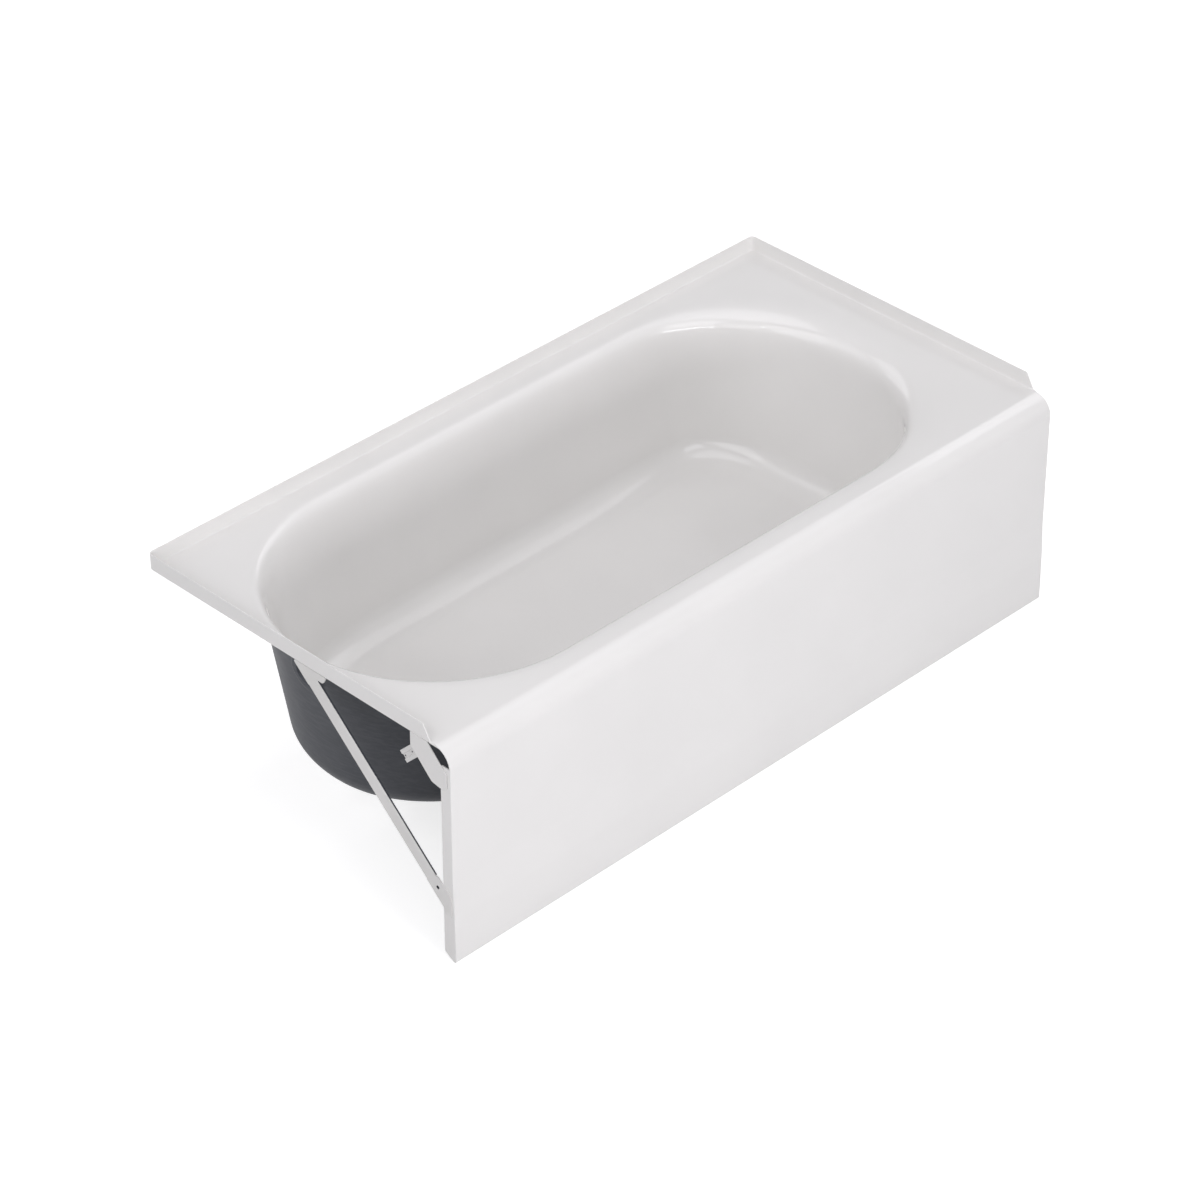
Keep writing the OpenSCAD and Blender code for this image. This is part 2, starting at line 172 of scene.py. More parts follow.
class TreeBuilder:
    """Builds one geometry node tree with named inputs and keeps their identifiers."""

    def __init__(self, name: str) -> None:
        """Makes an empty tree with a geometry input and output.

        Args:
            name: The tree's name.
        """
        self.tree = bpy.data.node_groups.new(name, "GeometryNodeTree")
        self.tree.is_modifier = True
        self.identifiers: dict[str, str] = {}
        self.add_input("Geometry", "NodeSocketGeometry")
        self.tree.interface.new_socket(
            "Geometry", in_out="OUTPUT", socket_type="NodeSocketGeometry"
        )
        self.source = self.tree.nodes.new("NodeGroupInput")
        self.sink = self.tree.nodes.new("NodeGroupOutput")

    def add_input(self, name: str, kind: str = "NodeSocketFloat") -> None:
        """Adds a named input to the tree's interface.

        Args:
            name: The input's name.
            kind: The socket type.
        """
        socket = self.tree.interface.new_socket(name, in_out="INPUT", socket_type=kind)
        self.identifiers[name] = socket.identifier

    def given(self, name: str) -> bpy.types.NodeSocket:
        """The socket inside the tree that gives a named input."""
        return self.source.outputs[name]

    def size(self, name: str) -> Field:
        """A named input as a field."""
        return Field(self.tree, self.given(name))

    def attribute(self, name: str) -> Field:
        """A float attribute of the mesh as a field."""
        node = self.node("GeometryNodeInputNamedAttribute", data_type="FLOAT")
        node.inputs["Name"].default_value = name
        return Field(self.tree, node.outputs["Attribute"])

    def node(self, kind: str, **settings: object) -> bpy.types.Node:
        """Adds a node and sets its properties.

        Args:
            kind: The node's type.
            settings: Property names and values.

        Returns:
            The node.
        """
        made = self.tree.nodes.new(kind)
        for name, value in settings.items():
            setattr(made, name, value)
        return made

    def link(self, start: bpy.types.NodeSocket, end: bpy.types.NodeSocket) -> None:
        """Links two sockets."""
        self.tree.links.new(start, end)

    def vector(self, x: Field | float, y: Field | float, z: Field | float) -> bpy.types.NodeSocket:
        """Three fields or numbers as one vector socket."""
        node = self.node("ShaderNodeCombineXYZ")
        feed(node, (x, y, z))
        return node.outputs[0]

    def end_with(self, geometry: bpy.types.NodeSocket) -> None:
        """Ends the tree in Realize Instances and Set Material.

        Args:
            geometry: The socket with the finished geometry.
        """
        real = self.node("GeometryNodeRealizeInstances")
        paint = self.node("GeometryNodeSetMaterial")
        self.link(geometry, real.inputs["Geometry"])
        self.link(real.outputs["Geometry"], paint.inputs["Geometry"])
        self.link(self.given("Material"), paint.inputs["Material"])
        self.link(paint.outputs["Geometry"], self.sink.inputs["Geometry"])

    def evaluate(
        self, mesh: bpy.types.Mesh, inputs: dict[str, float | bpy.types.Material]
    ) -> bpy.types.Mesh:
        """Runs the tree on a mesh.

        Args:
            mesh: The mesh that goes into the tree. It is removed afterwards.
            inputs: The value of each named input.

        Returns:
            The plain mesh that comes out.
        """
        carrier = placed("carrier", mesh)
        modifier = carrier.modifiers.new("Nodes", "NODES")
        modifier.node_group = self.tree
        for name, value in inputs.items():
            modifier[self.identifiers[name]] = value
        return plain_mesh(carrier)


def placed(name: str, data: bpy.types.ID) -> bpy.types.Object:
    """A new object in the scene, of a mesh, a lamp or a camera."""
    made = bpy.data.objects.new(name, data)
    bpy.context.scene.collection.objects.link(made)
    return made


def removed(carrier: bpy.types.Object) -> None:
    """Removes an object and its mesh."""
    mesh = carrier.data
    bpy.data.objects.remove(carrier)
    bpy.data.meshes.remove(mesh)


def plain_mesh(carrier: bpy.types.Object) -> bpy.types.Mesh:
    """The evaluated mesh of an object, which is removed.

    Args:
        carrier: Object with its modifiers.

    Returns:
        A mesh that no object holds.
    """
    bpy.context.view_layer.update()
    graph = bpy.context.evaluated_depsgraph_get()
    made = bpy.data.meshes.new_from_object(
        carrier.evaluated_get(graph), preserve_all_data_layers=True, depsgraph=graph
    )
    removed(carrier)
    return made


def prism_tree() -> TreeBuilder:
    """The tree that draws a flat face out into a closed prism, such as a sheet or a section.

    Returns:
        The tree, with the inputs Length, Along X, Along Y, Along Z and Material.
    """
    builder = TreeBuilder("drawn_section")
    builder.add_input("Length")
    for axis in "XYZ":
        builder.add_input(f"Along {axis}")
    builder.add_input("Material", "NodeSocketMaterial")
    length = builder.size("Length")
    offset = builder.vector(*(builder.size(f"Along {axis}") * length for axis in "XYZ"))
    draw = builder.node("GeometryNodeExtrudeMesh", mode="FACES")
    draw.inputs["Individual"].default_value = False
    draw.inputs["Offset Scale"].default_value = 1.0
    builder.link(builder.given("Geometry"), draw.inputs["Mesh"])
    builder.link(offset, draw.inputs["Offset"])
    turn = builder.node("GeometryNodeFlipFaces")
    builder.link(builder.given("Geometry"), turn.inputs["Mesh"])
    join = builder.node("GeometryNodeJoinGeometry")
    builder.link(turn.outputs["Mesh"], join.inputs["Geometry"])
    builder.link(draw.outputs["Mesh"], join.inputs["Geometry"])
    weld = builder.node("GeometryNodeMergeByDistance")
    weld.inputs["Distance"].default_value = PRISM_WELD * MM
    builder.link(join.outputs["Geometry"], weld.inputs["Geometry"])
    builder.end_with(weld.outputs["Geometry"])
    return builder


# Plain geometry


def rounded(corners: Sequence[Point], radii: Sequence[float], steps: int = 6) -> list[Point]:
    """Rounds the corners of a closed outline.

    Args:
        corners: The outline's corners.
        radii: The radius at each corner, 0 for a sharp one.
        steps: Faces to each round.

    Returns:
        The rounded outline.
    """
    line: list[Point] = []
    count = len(corners)
    for place, (corner, radius) in enumerate(zip(corners, radii, strict=True)):
        at = Vector(corner)
        back = Vector(corners[place - 1]) - at
        on = Vector(corners[(place + 1) % count]) - at
        if radius <= 0:
            line.append(tuple(at))
            continue
        half = back.angle(on) / 2
        reach = min(radius / math.tan(half), ROUND_SHARE * min(back.length, on.length))
        round_r = reach * math.tan(half)
        middle = at + (back.normalized() + on.normalized()).normalized() * (
            round_r / math.sin(half)
        )
        start = at + back.normalized() * reach - middle
        turn = start.angle_signed(at + on.normalized() * reach - middle)
        for step in range(steps + 1):
            line.append(tuple(middle + turned(start, -turn * step / steps)))
    return line


def turned(arm: Vector, angle: float) -> Vector:
    """A flat vector turned anticlockwise by an angle in radians."""
    c, s = math.cos(angle), math.sin(angle)
    return Vector((c * arm.x - s * arm.y, s * arm.x + c * arm.y))


def arc(centre: Point, radius: float, start: float, stop: float, steps: int) -> list[Point]:
    """Points along an arc.

    Args:
        centre: Its centre.
        radius: Its radius.
        start: Angle of the first point in degrees, anticlockwise from the first axis.
        stop: Angle of the last point.
        steps: Steps from the first point to the last.

    Returns:
        The points, both ends among them.
    """
    angles = [math.radians(start + (stop - start) * k / steps) for k in range(steps + 1)]
    return [(centre[0] + radius * math.cos(a), centre[1] + radius * math.sin(a)) for a in angles]


def circle(centre: Point, radius: float, count: int) -> list[Point]:
    """A round outline, anticlockwise."""
    angles = [math.tau * k / count for k in range(count)]
    return [(centre[0] + radius * math.cos(a), centre[1] + radius * math.sin(a)) for a in angles]


def filled(
    outline: Sequence[Point],
    holes: Sequence[Sequence[Point]] = (),
    loops: Sequence[Sequence[Point]] = (),
) -> tuple[list[Point], list[list[int]]]:
    """Fills a flat outline with triangles.

    Args:
        outline: The outer line.
        holes: Lines that stay open inside.
        loops: Further closed lines that the triangles follow.

    Returns:
        The points, the given ones first and in their order, and the faces.
    """
    points = [Vector(p) for line in (outline, *holes, *loops) for p in line]
    edges: list[tuple[int, int]] = []
    for line in (outline, *holes, *loops):
        first = len(edges)
        edges += [(first + k, first + (k + 1) % len(line)) for k in range(len(line))]
    found, _, faces, _, _, _ = delaunay_2d_cdt(points, edges, [], 0, SAME_POINT)
    outer, *rings = (np.array(line) for line in (outline, *holes))
    kept: list[list[int]] = []
    for face in faces:
        middle = sum((found[k] for k in face), Vector((0, 0))) / len(face)
        if inside(outer, middle) and not any(inside(ring, middle) for ring in rings):
            kept.append(list(face))
    return [tuple(p) for p in found], kept


def inside(line: np.ndarray, point: Vector) -> bool:
    """Whether a flat point lies inside a closed line.

    Args:
        line: The line's points.
        point: The point.

    Returns:
        True for a point inside.
    """
    x, y = line[:, 0], line[:, 1]
    x2, y2 = np.roll(x, -1), np.roll(y, -1)
    cross = (y > point.y) != (y2 > point.y)
    with np.errstate(divide="ignore", invalid="ignore"):
        at = (x2 - x) * (point.y - y) / (y2 - y) + x
    return bool(np.count_nonzero(cross & (point.x < at)) % 2)


class MeshSketch:
    """Points and faces in millimetres that grow into one mesh."""

    def __init__(self) -> None:
        """Starts with nothing drawn."""
        self.points: list[tuple[float, float, float]] = []
        self.faces: list[list[int]] = []

    def add(self, points: Iterable[Sequence[float]], faces: Iterable[Sequence[int]]) -> int:
        """Adds points and the faces between them.

        Args:
            points: The new points.
            faces: Faces that count these points from 0.

        Returns:
            The place of the first new point.
        """
        first = len(self.points)
        self.points += [tuple(map(float, p)) for p in points]
        self.faces += [[first + k for k in face] for face in faces]
        return first

    def grid(self, rows: np.ndarray, closed: bool, flip: bool = False) -> int:
        """Adds a grid of points with four-sided faces.

        Args:
            rows: The points, rows by columns by three.
            closed: Whether the last column meets the first.
            flip: Whether the faces look the other way.

        Returns:
            The place of the first new point.
        """
        high, wide = rows.shape[:2]
        faces = []
        for j in range(high - 1):
            for i in range(wide if closed else wide - 1):
                k = (i + 1) % wide
                face = [j * wide + i, j * wide + k, (j + 1) * wide + k, (j + 1) * wide + i]
                faces.append(face[::-1] if flip else face)
        return self.add(rows.reshape(-1, 3), faces)

    def flat(
        self,
        outline: Sequence[Point],
        level: float,
        flip: bool = False,
        holes: Sequence[Sequence[Point]] = (),
        loops: Sequence[Sequence[Point]] = (),
        fall: float = 0.0,
    ) -> None:
        """Adds a flat area.

        Args:
            outline: Its outer line.
            level: Its height at x = 0.
            flip: Whether it looks down.
            holes: Lines that stay open.
            loops: Further lines that the faces follow.
            fall: The rise of the area for each millimetre of x.
        """
        points, faces = filled(outline, holes, loops)
        self.add(
            [(x, y, level + fall * x) for x, y in points],
            [face[::-1] if flip else face for face in faces],
        )

    def mesh(self, name: str) -> bpy.types.Mesh:
        """The drawn points and faces as a mesh in metres.

        Args:
            name: Name of the mesh.

        Returns:
            The mesh.
        """
        made = bpy.data.meshes.new(name)
        made.from_pydata([Vector(p) * MM for p in self.points], [], self.faces)
        with reshaped(made) as shape:
            bmesh.ops.remove_doubles(shape, verts=shape.verts, dist=WELD * MM)
            bmesh.ops.dissolve_degenerate(shape, edges=shape.edges, dist=SLIVER)
        made.validate()
        return made


@contextmanager
def reshaped(mesh: bpy.types.Mesh) -> Iterator[bmesh.types.BMesh]:
    """A mesh as an editable shape, which is written back at the end.

    Args:
        mesh: Mesh to edit.

    Yields:
        The editable shape.
    """
    shape = bmesh.new()
    shape.from_mesh(mesh)
    yield shape
    shape.to_mesh(mesh)
    shape.free()


def merge_flats(shape: bmesh.types.BMesh, degrees: float, weld: float = 0.0) -> None:
    """Welds a shape's points, then merges its faces that lie in one plane.

    Args:
        shape: The shape.
        degrees: Faces that meet at less than this are merged.
        weld: Points this close together become one, in millimetres.
    """
    if weld:
        bmesh.ops.remove_doubles(shape, verts=shape.verts, dist=weld * MM)
    bmesh.ops.dissolve_limit(
        shape, angle_limit=math.radians(degrees), verts=shape.verts, edges=shape.edges
    )


def open_edges(mesh: bpy.types.Mesh) -> int:
    """How many edges of a mesh don't have two faces.

    Args:
        mesh: Mesh to count in.

    Returns:
        Their number, 0 for a closed mesh.
    """
    shape = bmesh.new()
    shape.from_mesh(mesh)
    count = sum(1 for e in shape.edges if len(e.link_faces) != 2)
    shape.free()
    return count


def face_outwards(mesh: bpy.types.Mesh) -> bpy.types.Mesh:
    """Turns a closed mesh's faces outwards and gives the same mesh back.

    Args:
        mesh: Closed mesh.

    Returns:
        The same mesh.
    """
    with reshaped(mesh) as shape:
        bmesh.ops.recalc_face_normals(shape, faces=shape.faces)
        if shape.calc_volume(signed=True) < 0:
            bmesh.ops.reverse_faces(shape, faces=shape.faces)
    return mesh


def smooth_by_angle(mesh: bpy.types.Mesh, degrees: float) -> bpy.types.Mesh:
    """Shades a mesh smooth up to an angle between faces and gives it back."""
    mesh.shade_smooth()
    mesh.set_sharp_from_angle(angle=math.radians(degrees))
    return mesh


def with_modifiers(mesh: bpy.types.Mesh, *steps: tuple[str, dict[str, object]]) -> bpy.types.Mesh:
    """Runs modifiers on a mesh.

    Args:
        mesh: The mesh. It is removed afterwards.
        steps: For each modifier its type and its settings.

    Returns:
        The finished mesh.
    """
    carrier = placed("carrier", mesh)
    for kind, settings in steps:
        modifier = carrier.modifiers.new(kind.title(), kind)
        for name, value in settings.items():
            setattr(modifier, name, value)
    return plain_mesh(carrier)


def cut_with(
    mesh: bpy.types.Mesh, cutters: Iterable[bpy.types.Mesh], operation: str = "DIFFERENCE"
) -> bpy.types.Mesh:
    """Cuts meshes out of a mesh, or joins them to it.

    Args:
        mesh: The mesh. It is removed afterwards.
        cutters: The other meshes, removed as well.
        operation: DIFFERENCE or UNION.

    Returns:
        The result.
    """
    tools = [placed("tool", cutter) for cutter in cutters]
    settings = [{"object": tool, "operation": operation, "solver": "EXACT"} for tool in tools]
    made = with_modifiers(mesh, *(("BOOLEAN", setting) for setting in settings))
    for tool in tools:
        removed(tool)
    return made


def lathed(profile: Sequence[Point], at: Vector, axis: Vector) -> bpy.types.Mesh:
    """A turned cutter.

    Args:
        profile: Radius and height of each row, from the bottom up.
        at: The origin of the heights, in millimetres.
        axis: The direction of the heights.

    Returns:
        The closed mesh.
    """
    turn = axis.to_track_quat("Z", "Y").to_matrix()
    round_it = circle((0.0, 0.0), 1.0, TURN_FACES)
    rows = [[at + turn @ Vector((r * x, r * y, h)) for x, y in round_it] for r, h in profile]
    sketch = MeshSketch()
    sketch.grid(np.array(rows), closed=True)
    last = len(sketch.points) - TURN_FACES
    sketch.faces += [list(range(TURN_FACES))[::-1], list(range(last, last + TURN_FACES))]
    return face_outwards(sketch.mesh("cutter"))


# Finishes


class ShaderBuilder:
    """Builds one material round a Principled BSDF."""

    def __init__(self, name: str) -> None:
        """Makes the material and finds its shader.

        Args:
            name: The material's name.
        """
        self.material = bpy.data.materials.new(name)
        self.material.use_nodes = True
        self.tree = self.material.node_tree
        self.shader = self.tree.nodes["Principled BSDF"]
        self.place = self.tree.nodes.new("ShaderNodeTexCoord").outputs["Object"]

    def effect(self, group: bpy.types.NodeTree, **values: float | tuple) -> bpy.types.Node:
        """Adds a shared effect.

        Args:
            group: The effect's node group.
            values: Its inputs, with _ for a space in a name.

        Returns:
            The group node.
        """
        node = self.tree.nodes.new("ShaderNodeGroup")
        node.node_tree = group
        self.tree.links.new(self.place, node.inputs["Place"])
        for name, value in values.items():
            node.inputs[name.replace("_", " ")].default_value = value
        return node

    def dress(self, node: bpy.types.Node, bump: float, distance: float) -> None:
        """Links an effect's colour, roughness and height to the shader.

        Args:
            node: The effect's node.
            bump: Strength of the relief.
            distance: Height of the relief in metres.
        """
        relief = self.tree.nodes.new("ShaderNodeBump")
        relief.inputs["Strength"].default_value = bump
        relief.inputs["Distance"].default_value = distance
        links = self.tree.links
        links.new(node.outputs["Height"], relief.inputs["Height"])
        links.new(relief.outputs["Normal"], self.shader.inputs["Normal"])
        links.new(node.outputs["Colour"], self.shader.inputs["Base Color"])
        links.new(node.outputs["Roughness"], self.shader.inputs["Roughness"])

    def settle(self, **values: float | tuple) -> None:
        """Sets constants on the shader's own sockets, with _ for a space in a name."""
        for name, value in values.items():
            self.shader.inputs[name.replace("_", " ")].default_value = value


class EffectBuilder:
    """Builds one shader node group with named inputs and outputs."""

    def __init__(self, name: str, colours: Sequence[str], numbers: Sequence[str]) -> None:
        """Makes the group with its inputs, and its three outputs.

        Args:
            name: The group's name.
            colours: Names of the inputs that take a colour.
            numbers: Names of the inputs that take a number.
        """
        self.tree = bpy.data.node_groups.new(name, "ShaderNodeTree")
        sockets = [("Place", "INPUT", "Vector")]
        sockets += [(label, "INPUT", "Color") for label in colours]
        sockets += [(label, "INPUT", "Float") for label in numbers]
        sockets += [("Colour", "OUTPUT", "Color")]
        sockets += [(label, "OUTPUT", "Float") for label in ("Roughness", "Height")]
        for label, way, kind in sockets:
            self.tree.interface.new_socket(label, in_out=way, socket_type=f"NodeSocket{kind}")
        self.source = self.tree.nodes.new("NodeGroupInput")
        self.sink = self.tree.nodes.new("NodeGroupOutput")

    def given(self, name: str) -> Field:
        """A named input as a field."""
        return Field(self.tree, self.source.outputs[name])

    def noise(self, scale: float, detail: float = 2.0, stretch: tuple | None = None) -> Field:
        """Noise over the object.

        Args:
            scale: Its fineness, in repeats to the metre.
            detail: Its octaves.
            stretch: Scale along each axis, if it isn't even.

        Returns:
            The noise, about 0.5.
        """
        node = self.tree.nodes.new("ShaderNodeTexNoise")
        node.inputs["Scale"].default_value = scale
        node.inputs["Detail"].default_value = detail
        self.tree.links.new(self.stretched(stretch), node.inputs["Vector"])
        return Field(self.tree, node.outputs[0])

    def cells(self, scale: float, feature: str = "F1") -> Field:
        """The distance from the middle of a cell, or from its edge.

        Args:
            scale: Cells per metre.
            feature: What is measured, by Blender's name.

        Returns:
            The distance.
        """
        node = self.tree.nodes.new("ShaderNodeTexVoronoi")
        node.feature = feature
        node.inputs["Scale"].default_value = scale
        self.tree.links.new(self.source.outputs["Place"], node.inputs["Vector"])
        return Field(self.tree, node.outputs["Distance"])

    def stretched(self, stretch: tuple | None) -> bpy.types.NodeSocket:
        """The place on the object, scaled along each axis.

        Args:
            stretch: Scale along x, y and z, or None for none.

        Returns:
            The vector socket.
        """
        if stretch is None:
            return self.source.outputs["Place"]
        node = self.tree.nodes.new("ShaderNodeMapping")
        node.inputs["Scale"].default_value = stretch
        self.tree.links.new(self.source.outputs["Place"], node.inputs["Vector"])
        return node.outputs[0]

    def blend(
        self, share: Field, first: str | bpy.types.NodeSocket, second: str | bpy.types.NodeSocket
    ) -> bpy.types.NodeSocket:
        """Mixes two colours.

        Args:
            share: The share of the second colour.
            first: The first colour's socket, or the name of the input that gives it.
            second: The same for the second colour.

        Returns:
            The mixed colour's socket.
        """
        node = self.tree.nodes.new("ShaderNodeMix")
        node.data_type = "RGBA"
        links = self.tree.links
        links.new(share.socket, node.inputs["Factor"])
        colours = [s for s in node.inputs if s.type == "RGBA"]
        for given, end in zip((first, second), colours, strict=True):
            start = self.source.outputs[given] if isinstance(given, str) else given
            links.new(start, end)
        return next(s for s in node.outputs if s.type == "RGBA")

    def finish(
        self, colour: bpy.types.NodeSocket, roughness: Field, height: Field
    ) -> bpy.types.NodeTree:
        """Links the three outputs and gives the group.

        Args:
            colour: Socket of the colour.
            roughness: Field of the roughness.
            height: Field of the bump's height.

        Returns:
            The group.
        """
        links = self.tree.links
        links.new(colour, self.sink.inputs["Colour"])
        links.new(roughness.socket, self.sink.inputs["Roughness"])
        links.new(height.socket, self.sink.inputs["Height"])
        return self.tree


def linear(red: int, green: int, blue: int) -> tuple[float, float, float, float]:
    """A display colour of 0 to 255 as the linear colour that a shader takes.

    Args:
        red: Red, 0 to 255.
        green: Green, 0 to 255.
        blue: Blue, 0 to 255.

    Returns:
        Linear red, green, blue and an alpha of 1.
    """
    return (
        *(
            c / 12.92 if c <= 0.04045 else ((c + 0.055) / 1.055) ** 2.4
            for c in (red / 255, green / 255, blue / 255)
        ),
        1.0,
    )


def enamel_effect() -> bpy.types.NodeTree:
    """Fired enamel: a slow ripple of the glass, fine pits, a faint drift of tone, and the dark
    ground coat on marked faces, which is also painted shade.

    Returns:
        The node group.
    """
    build = EffectBuilder(
        "fired_enamel",
        colours=("Tone", "Drift Tone", "Ground Tone"),
        numbers=("Gloss", "Gloss Drift", "Ripple", "Ground Share", "Mirrored"),
    )
    slow = build.noise(scale=5.0)
    ripple = build.noise(scale=46.0)
    fine = build.noise(scale=420.0, detail=3.0)
    haze = build.noise(scale=17.0, detail=3.0) - 0.5
    # the marked share mixes in the dark ground tone and roughens the gloss: ground coat and painted
    # shade
    ground = build.given("Ground Share")
    cover = build.blend((slow - 0.35) * 2.2, "Tone", "Drift Tone")
    rough = build.given("Gloss") + haze * build.given("Gloss Drift")
    rough = rough + ground * 0.3 + build.given("Mirrored") * 0.5
    height = ripple * build.given("Ripple") + fine * 0.06
    return build.finish(build.blend(ground, cover, "Ground Tone"), rough, height)


def composite_effect() -> bpy.types.NodeTree:
    """Moulded composite: pressed fibre clumps, fine grain and flow marks.

    Returns:
        The node group.
    """
    build = EffectBuilder("moulded_composite", ("Tone", "Fibre Tone"), ("Sheen",))
    fibre = build.noise(scale=90.0, detail=5.0, stretch=(1.0, 0.35, 2.2))
    flow = build.noise(scale=7.0, detail=4.0)
    grain = build.noise(scale=700.0)
    share = (fibre - 0.42) * 2.4 * flow + (grain - 0.5) * 0.4
    rough = build.given("Sheen") + (flow - 0.5) * 0.25 + (grain - 0.5) * 0.12
    height = fibre * 0.6 + grain * 0.25 + build.cells(scale=160.0) * 0.2
    return build.finish(build.blend(share, "Tone", "Fibre Tone"), rough, height)


def foam_effect() -> bpy.types.NodeTree:
    """Moulded bead foam: pressed beads with fine seams between them.

    Returns:
        The node group.
    """
    build = EffectBuilder("bead_foam", ("Bead Tone", "Seam Tone"), ("Matt",))
    seam = build.cells(scale=210.0, feature="DISTANCE_TO_EDGE")
    near = 1.0 - (seam * 14.0).math("MINIMUM", 1.0)
    rough = build.given("Matt") + (build.noise(scale=300.0) - 0.5) * 0.1
    height = (seam * 8.0).math("MINIMUM", 1.0) + build.noise(scale=900.0) * 0.15
    return build.finish(build.blend(near * 0.8, "Bead Tone", "Seam Tone"), rough, height)


@dataclass(frozen=True)
class EnamelFinish:
    """Glossy fired enamel on steel."""

    name: str = "glossy_enamel"
    tone: tuple = linear(228, 227, 225)
    drift_tone: tuple = linear(225, 224, 222)
    # dark ground coat, also used as painted shade on faces that stand in shade
    ground_tone: tuple = linear(58, 61, 68)
    gloss: float = 0.05
    gloss_drift: float = 0.02
    ripple: float = 0.8
    relief: float = 0.03
    relief_h: float = 0.0004
    ior: float = 1.5

    def make(self, effect: bpy.types.NodeTree) -> bpy.types.Material:
        """Builds the material.

        Args:
            effect: The enamel's node group.

        Returns:
            The material.
        """
        build = ShaderBuilder(self.name)
        node = build.effect(
            effect,
            Tone=self.tone,
            Drift_Tone=self.drift_tone,
            Ground_Tone=self.ground_tone,
            Gloss=self.gloss,
            Gloss_Drift=self.gloss_drift,
            Ripple=self.ripple,
        )
        # the marked faces take the dark ground tone, which is painted shade as well as ground coat
        mark = build.tree.nodes.new("ShaderNodeAttribute")
        mark.attribute_name = GROUND_SHADE
        path = build.tree.nodes.new("ShaderNodeLightPath")
        build.tree.links.new(mark.outputs["Fac"], node.inputs["Ground Share"])
        build.tree.links.new(path.outputs["Is Glossy Ray"], node.inputs["Mirrored"])
        build.dress(node, self.relief, self.relief_h)
        build.settle(IOR=self.ior, Metallic=0.0)
        return build.material


@dataclass(frozen=True)
class CompositeFinish:
    """Dark moulded composite."""

    name: str = "dark_composite"
    tone: tuple = linear(62, 64, 69)
    fibre_tone: tuple = linear(86, 88, 93)
    sheen: float = 0.56
    relief: float = 0.35
    relief_h: float = 0.0005
    ior: float = 1.37

    def make(self, effect: bpy.types.NodeTree) -> bpy.types.Material:
        """Builds the material from the composite's node group.

        Args:
            effect: The composite's group.

        Returns:
            The material.
        """
        build = ShaderBuilder(self.name)
        node = build.effect(effect, Tone=self.tone, Fibre_Tone=self.fibre_tone, Sheen=self.sheen)
        build.dress(node, self.relief, self.relief_h)
        build.settle(IOR=self.ior)
        return build.material


@dataclass(frozen=True)
class FoamFinish:
    """Off-white bead foam."""

    name: str = "white_bead_foam"
    bead_tone: tuple = linear(234, 232, 224)
    seam_tone: tuple = linear(205, 202, 192)
    matt: float = 0.82
    relief: float = 0.6
    relief_h: float = 0.0006
    ior: float = 1.4

    def make(self, effect: bpy.types.NodeTree) -> bpy.types.Material:
        """Builds the material from the foam's node group.

        Args:
            effect: The foam's group.

        Returns:
            The material.
        """
        build = ShaderBuilder(self.name)
        node = build.effect(
            effect, Bead_Tone=self.bead_tone, Seam_Tone=self.seam_tone, Matt=self.matt
        )
        build.dress(node, self.relief, self.relief_h)
        build.settle(IOR=self.ior)
        return build.material


@dataclass(frozen=True)
class Finishes:
    """All the materials of the bath."""

    enamel: bpy.types.Material
    bracket: bpy.types.Material
    brace: bpy.types.Material
    clip: bpy.types.Material
    composite: bpy.types.Material
    foam: bpy.types.Material

    @classmethod
    def made(cls) -> Finishes:
        """Builds every material once.

        Returns:
            The materials, by name.
        """
        effect = enamel_effect()
        # the bracket, brace and clip take darker copies of the enamel's tone: painted shade for
        # where they stand under the deck, slight on the gusset, darkest on the clip
        bracket = EnamelFinish(
            name="bracket_enamel_shaded",
            tone=linear(223, 222, 220),
            drift_tone=linear(218, 217, 215),
            gloss=0.3,
            gloss_drift=0.14,
            ripple=1.2,
            relief=0.12,
        )
        brace = replace(
            bracket,
            name="brace_enamel_shaded",
            tone=linear(220, 219, 217),
            drift_tone=linear(211, 210, 207),
            gloss=0.32,
            ripple=1.4,
            relief=0.14,
        )
        clip = replace(
            brace,
            name="clip_enamel_shaded",
            tone=linear(211, 210, 208),
            drift_tone=linear(201, 200, 197),
        )
        return cls(
            enamel=EnamelFinish().make(effect),
            bracket=bracket.make(effect),
            brace=brace.make(effect),
            clip=clip.make(effect),
            composite=CompositeFinish().make(composite_effect()),
            foam=FoamFinish().make(foam_effect()),
        )


def mark_ground_shade(mesh: bpy.types.Mesh, hidden: Callable[[Vector, Vector], bool]) -> bpy.types.Mesh:
    """Marks the faces that take the enamel's dark ground coat, which also stands in as painted
    shade.

    Args:
        mesh: The finished mesh.
        hidden: Says it of a face, from its middle in millimetres and its normal.

    Returns:
        The same mesh.
    """
    share = [float(hidden(face.center / MM, face.normal)) for face in mesh.polygons]
    mesh.attributes.new(GROUND_SHADE, "FLOAT", "FACE").data.foreach_set("value", share)
    return mesh


def settle_piece(
    mesh: bpy.types.Mesh, name: str, slot: Slot, material: bpy.types.Material, *nodes: str
) -> None:
    """Makes the finished object of a mesh and hands it to the frame.

    Args:
        mesh: The finished mesh, in metres in the row frame.
        name: The object's name.
        slot: The record's material slot; not used.
        material: Its material.
        nodes: The CAD nodes that it replaces.
    """
    mesh.name = name
    mesh.materials.clear()
    mesh.materials.append(material)
    for face in mesh.polygons:
        face.material_index = 0
    piece = placed(name, mesh)
    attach(piece, "root")
    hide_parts(*nodes)
    log.info("%s: %d faces, %d open edges", name, len(mesh.polygons), open_edges(mesh))


# The basin's form


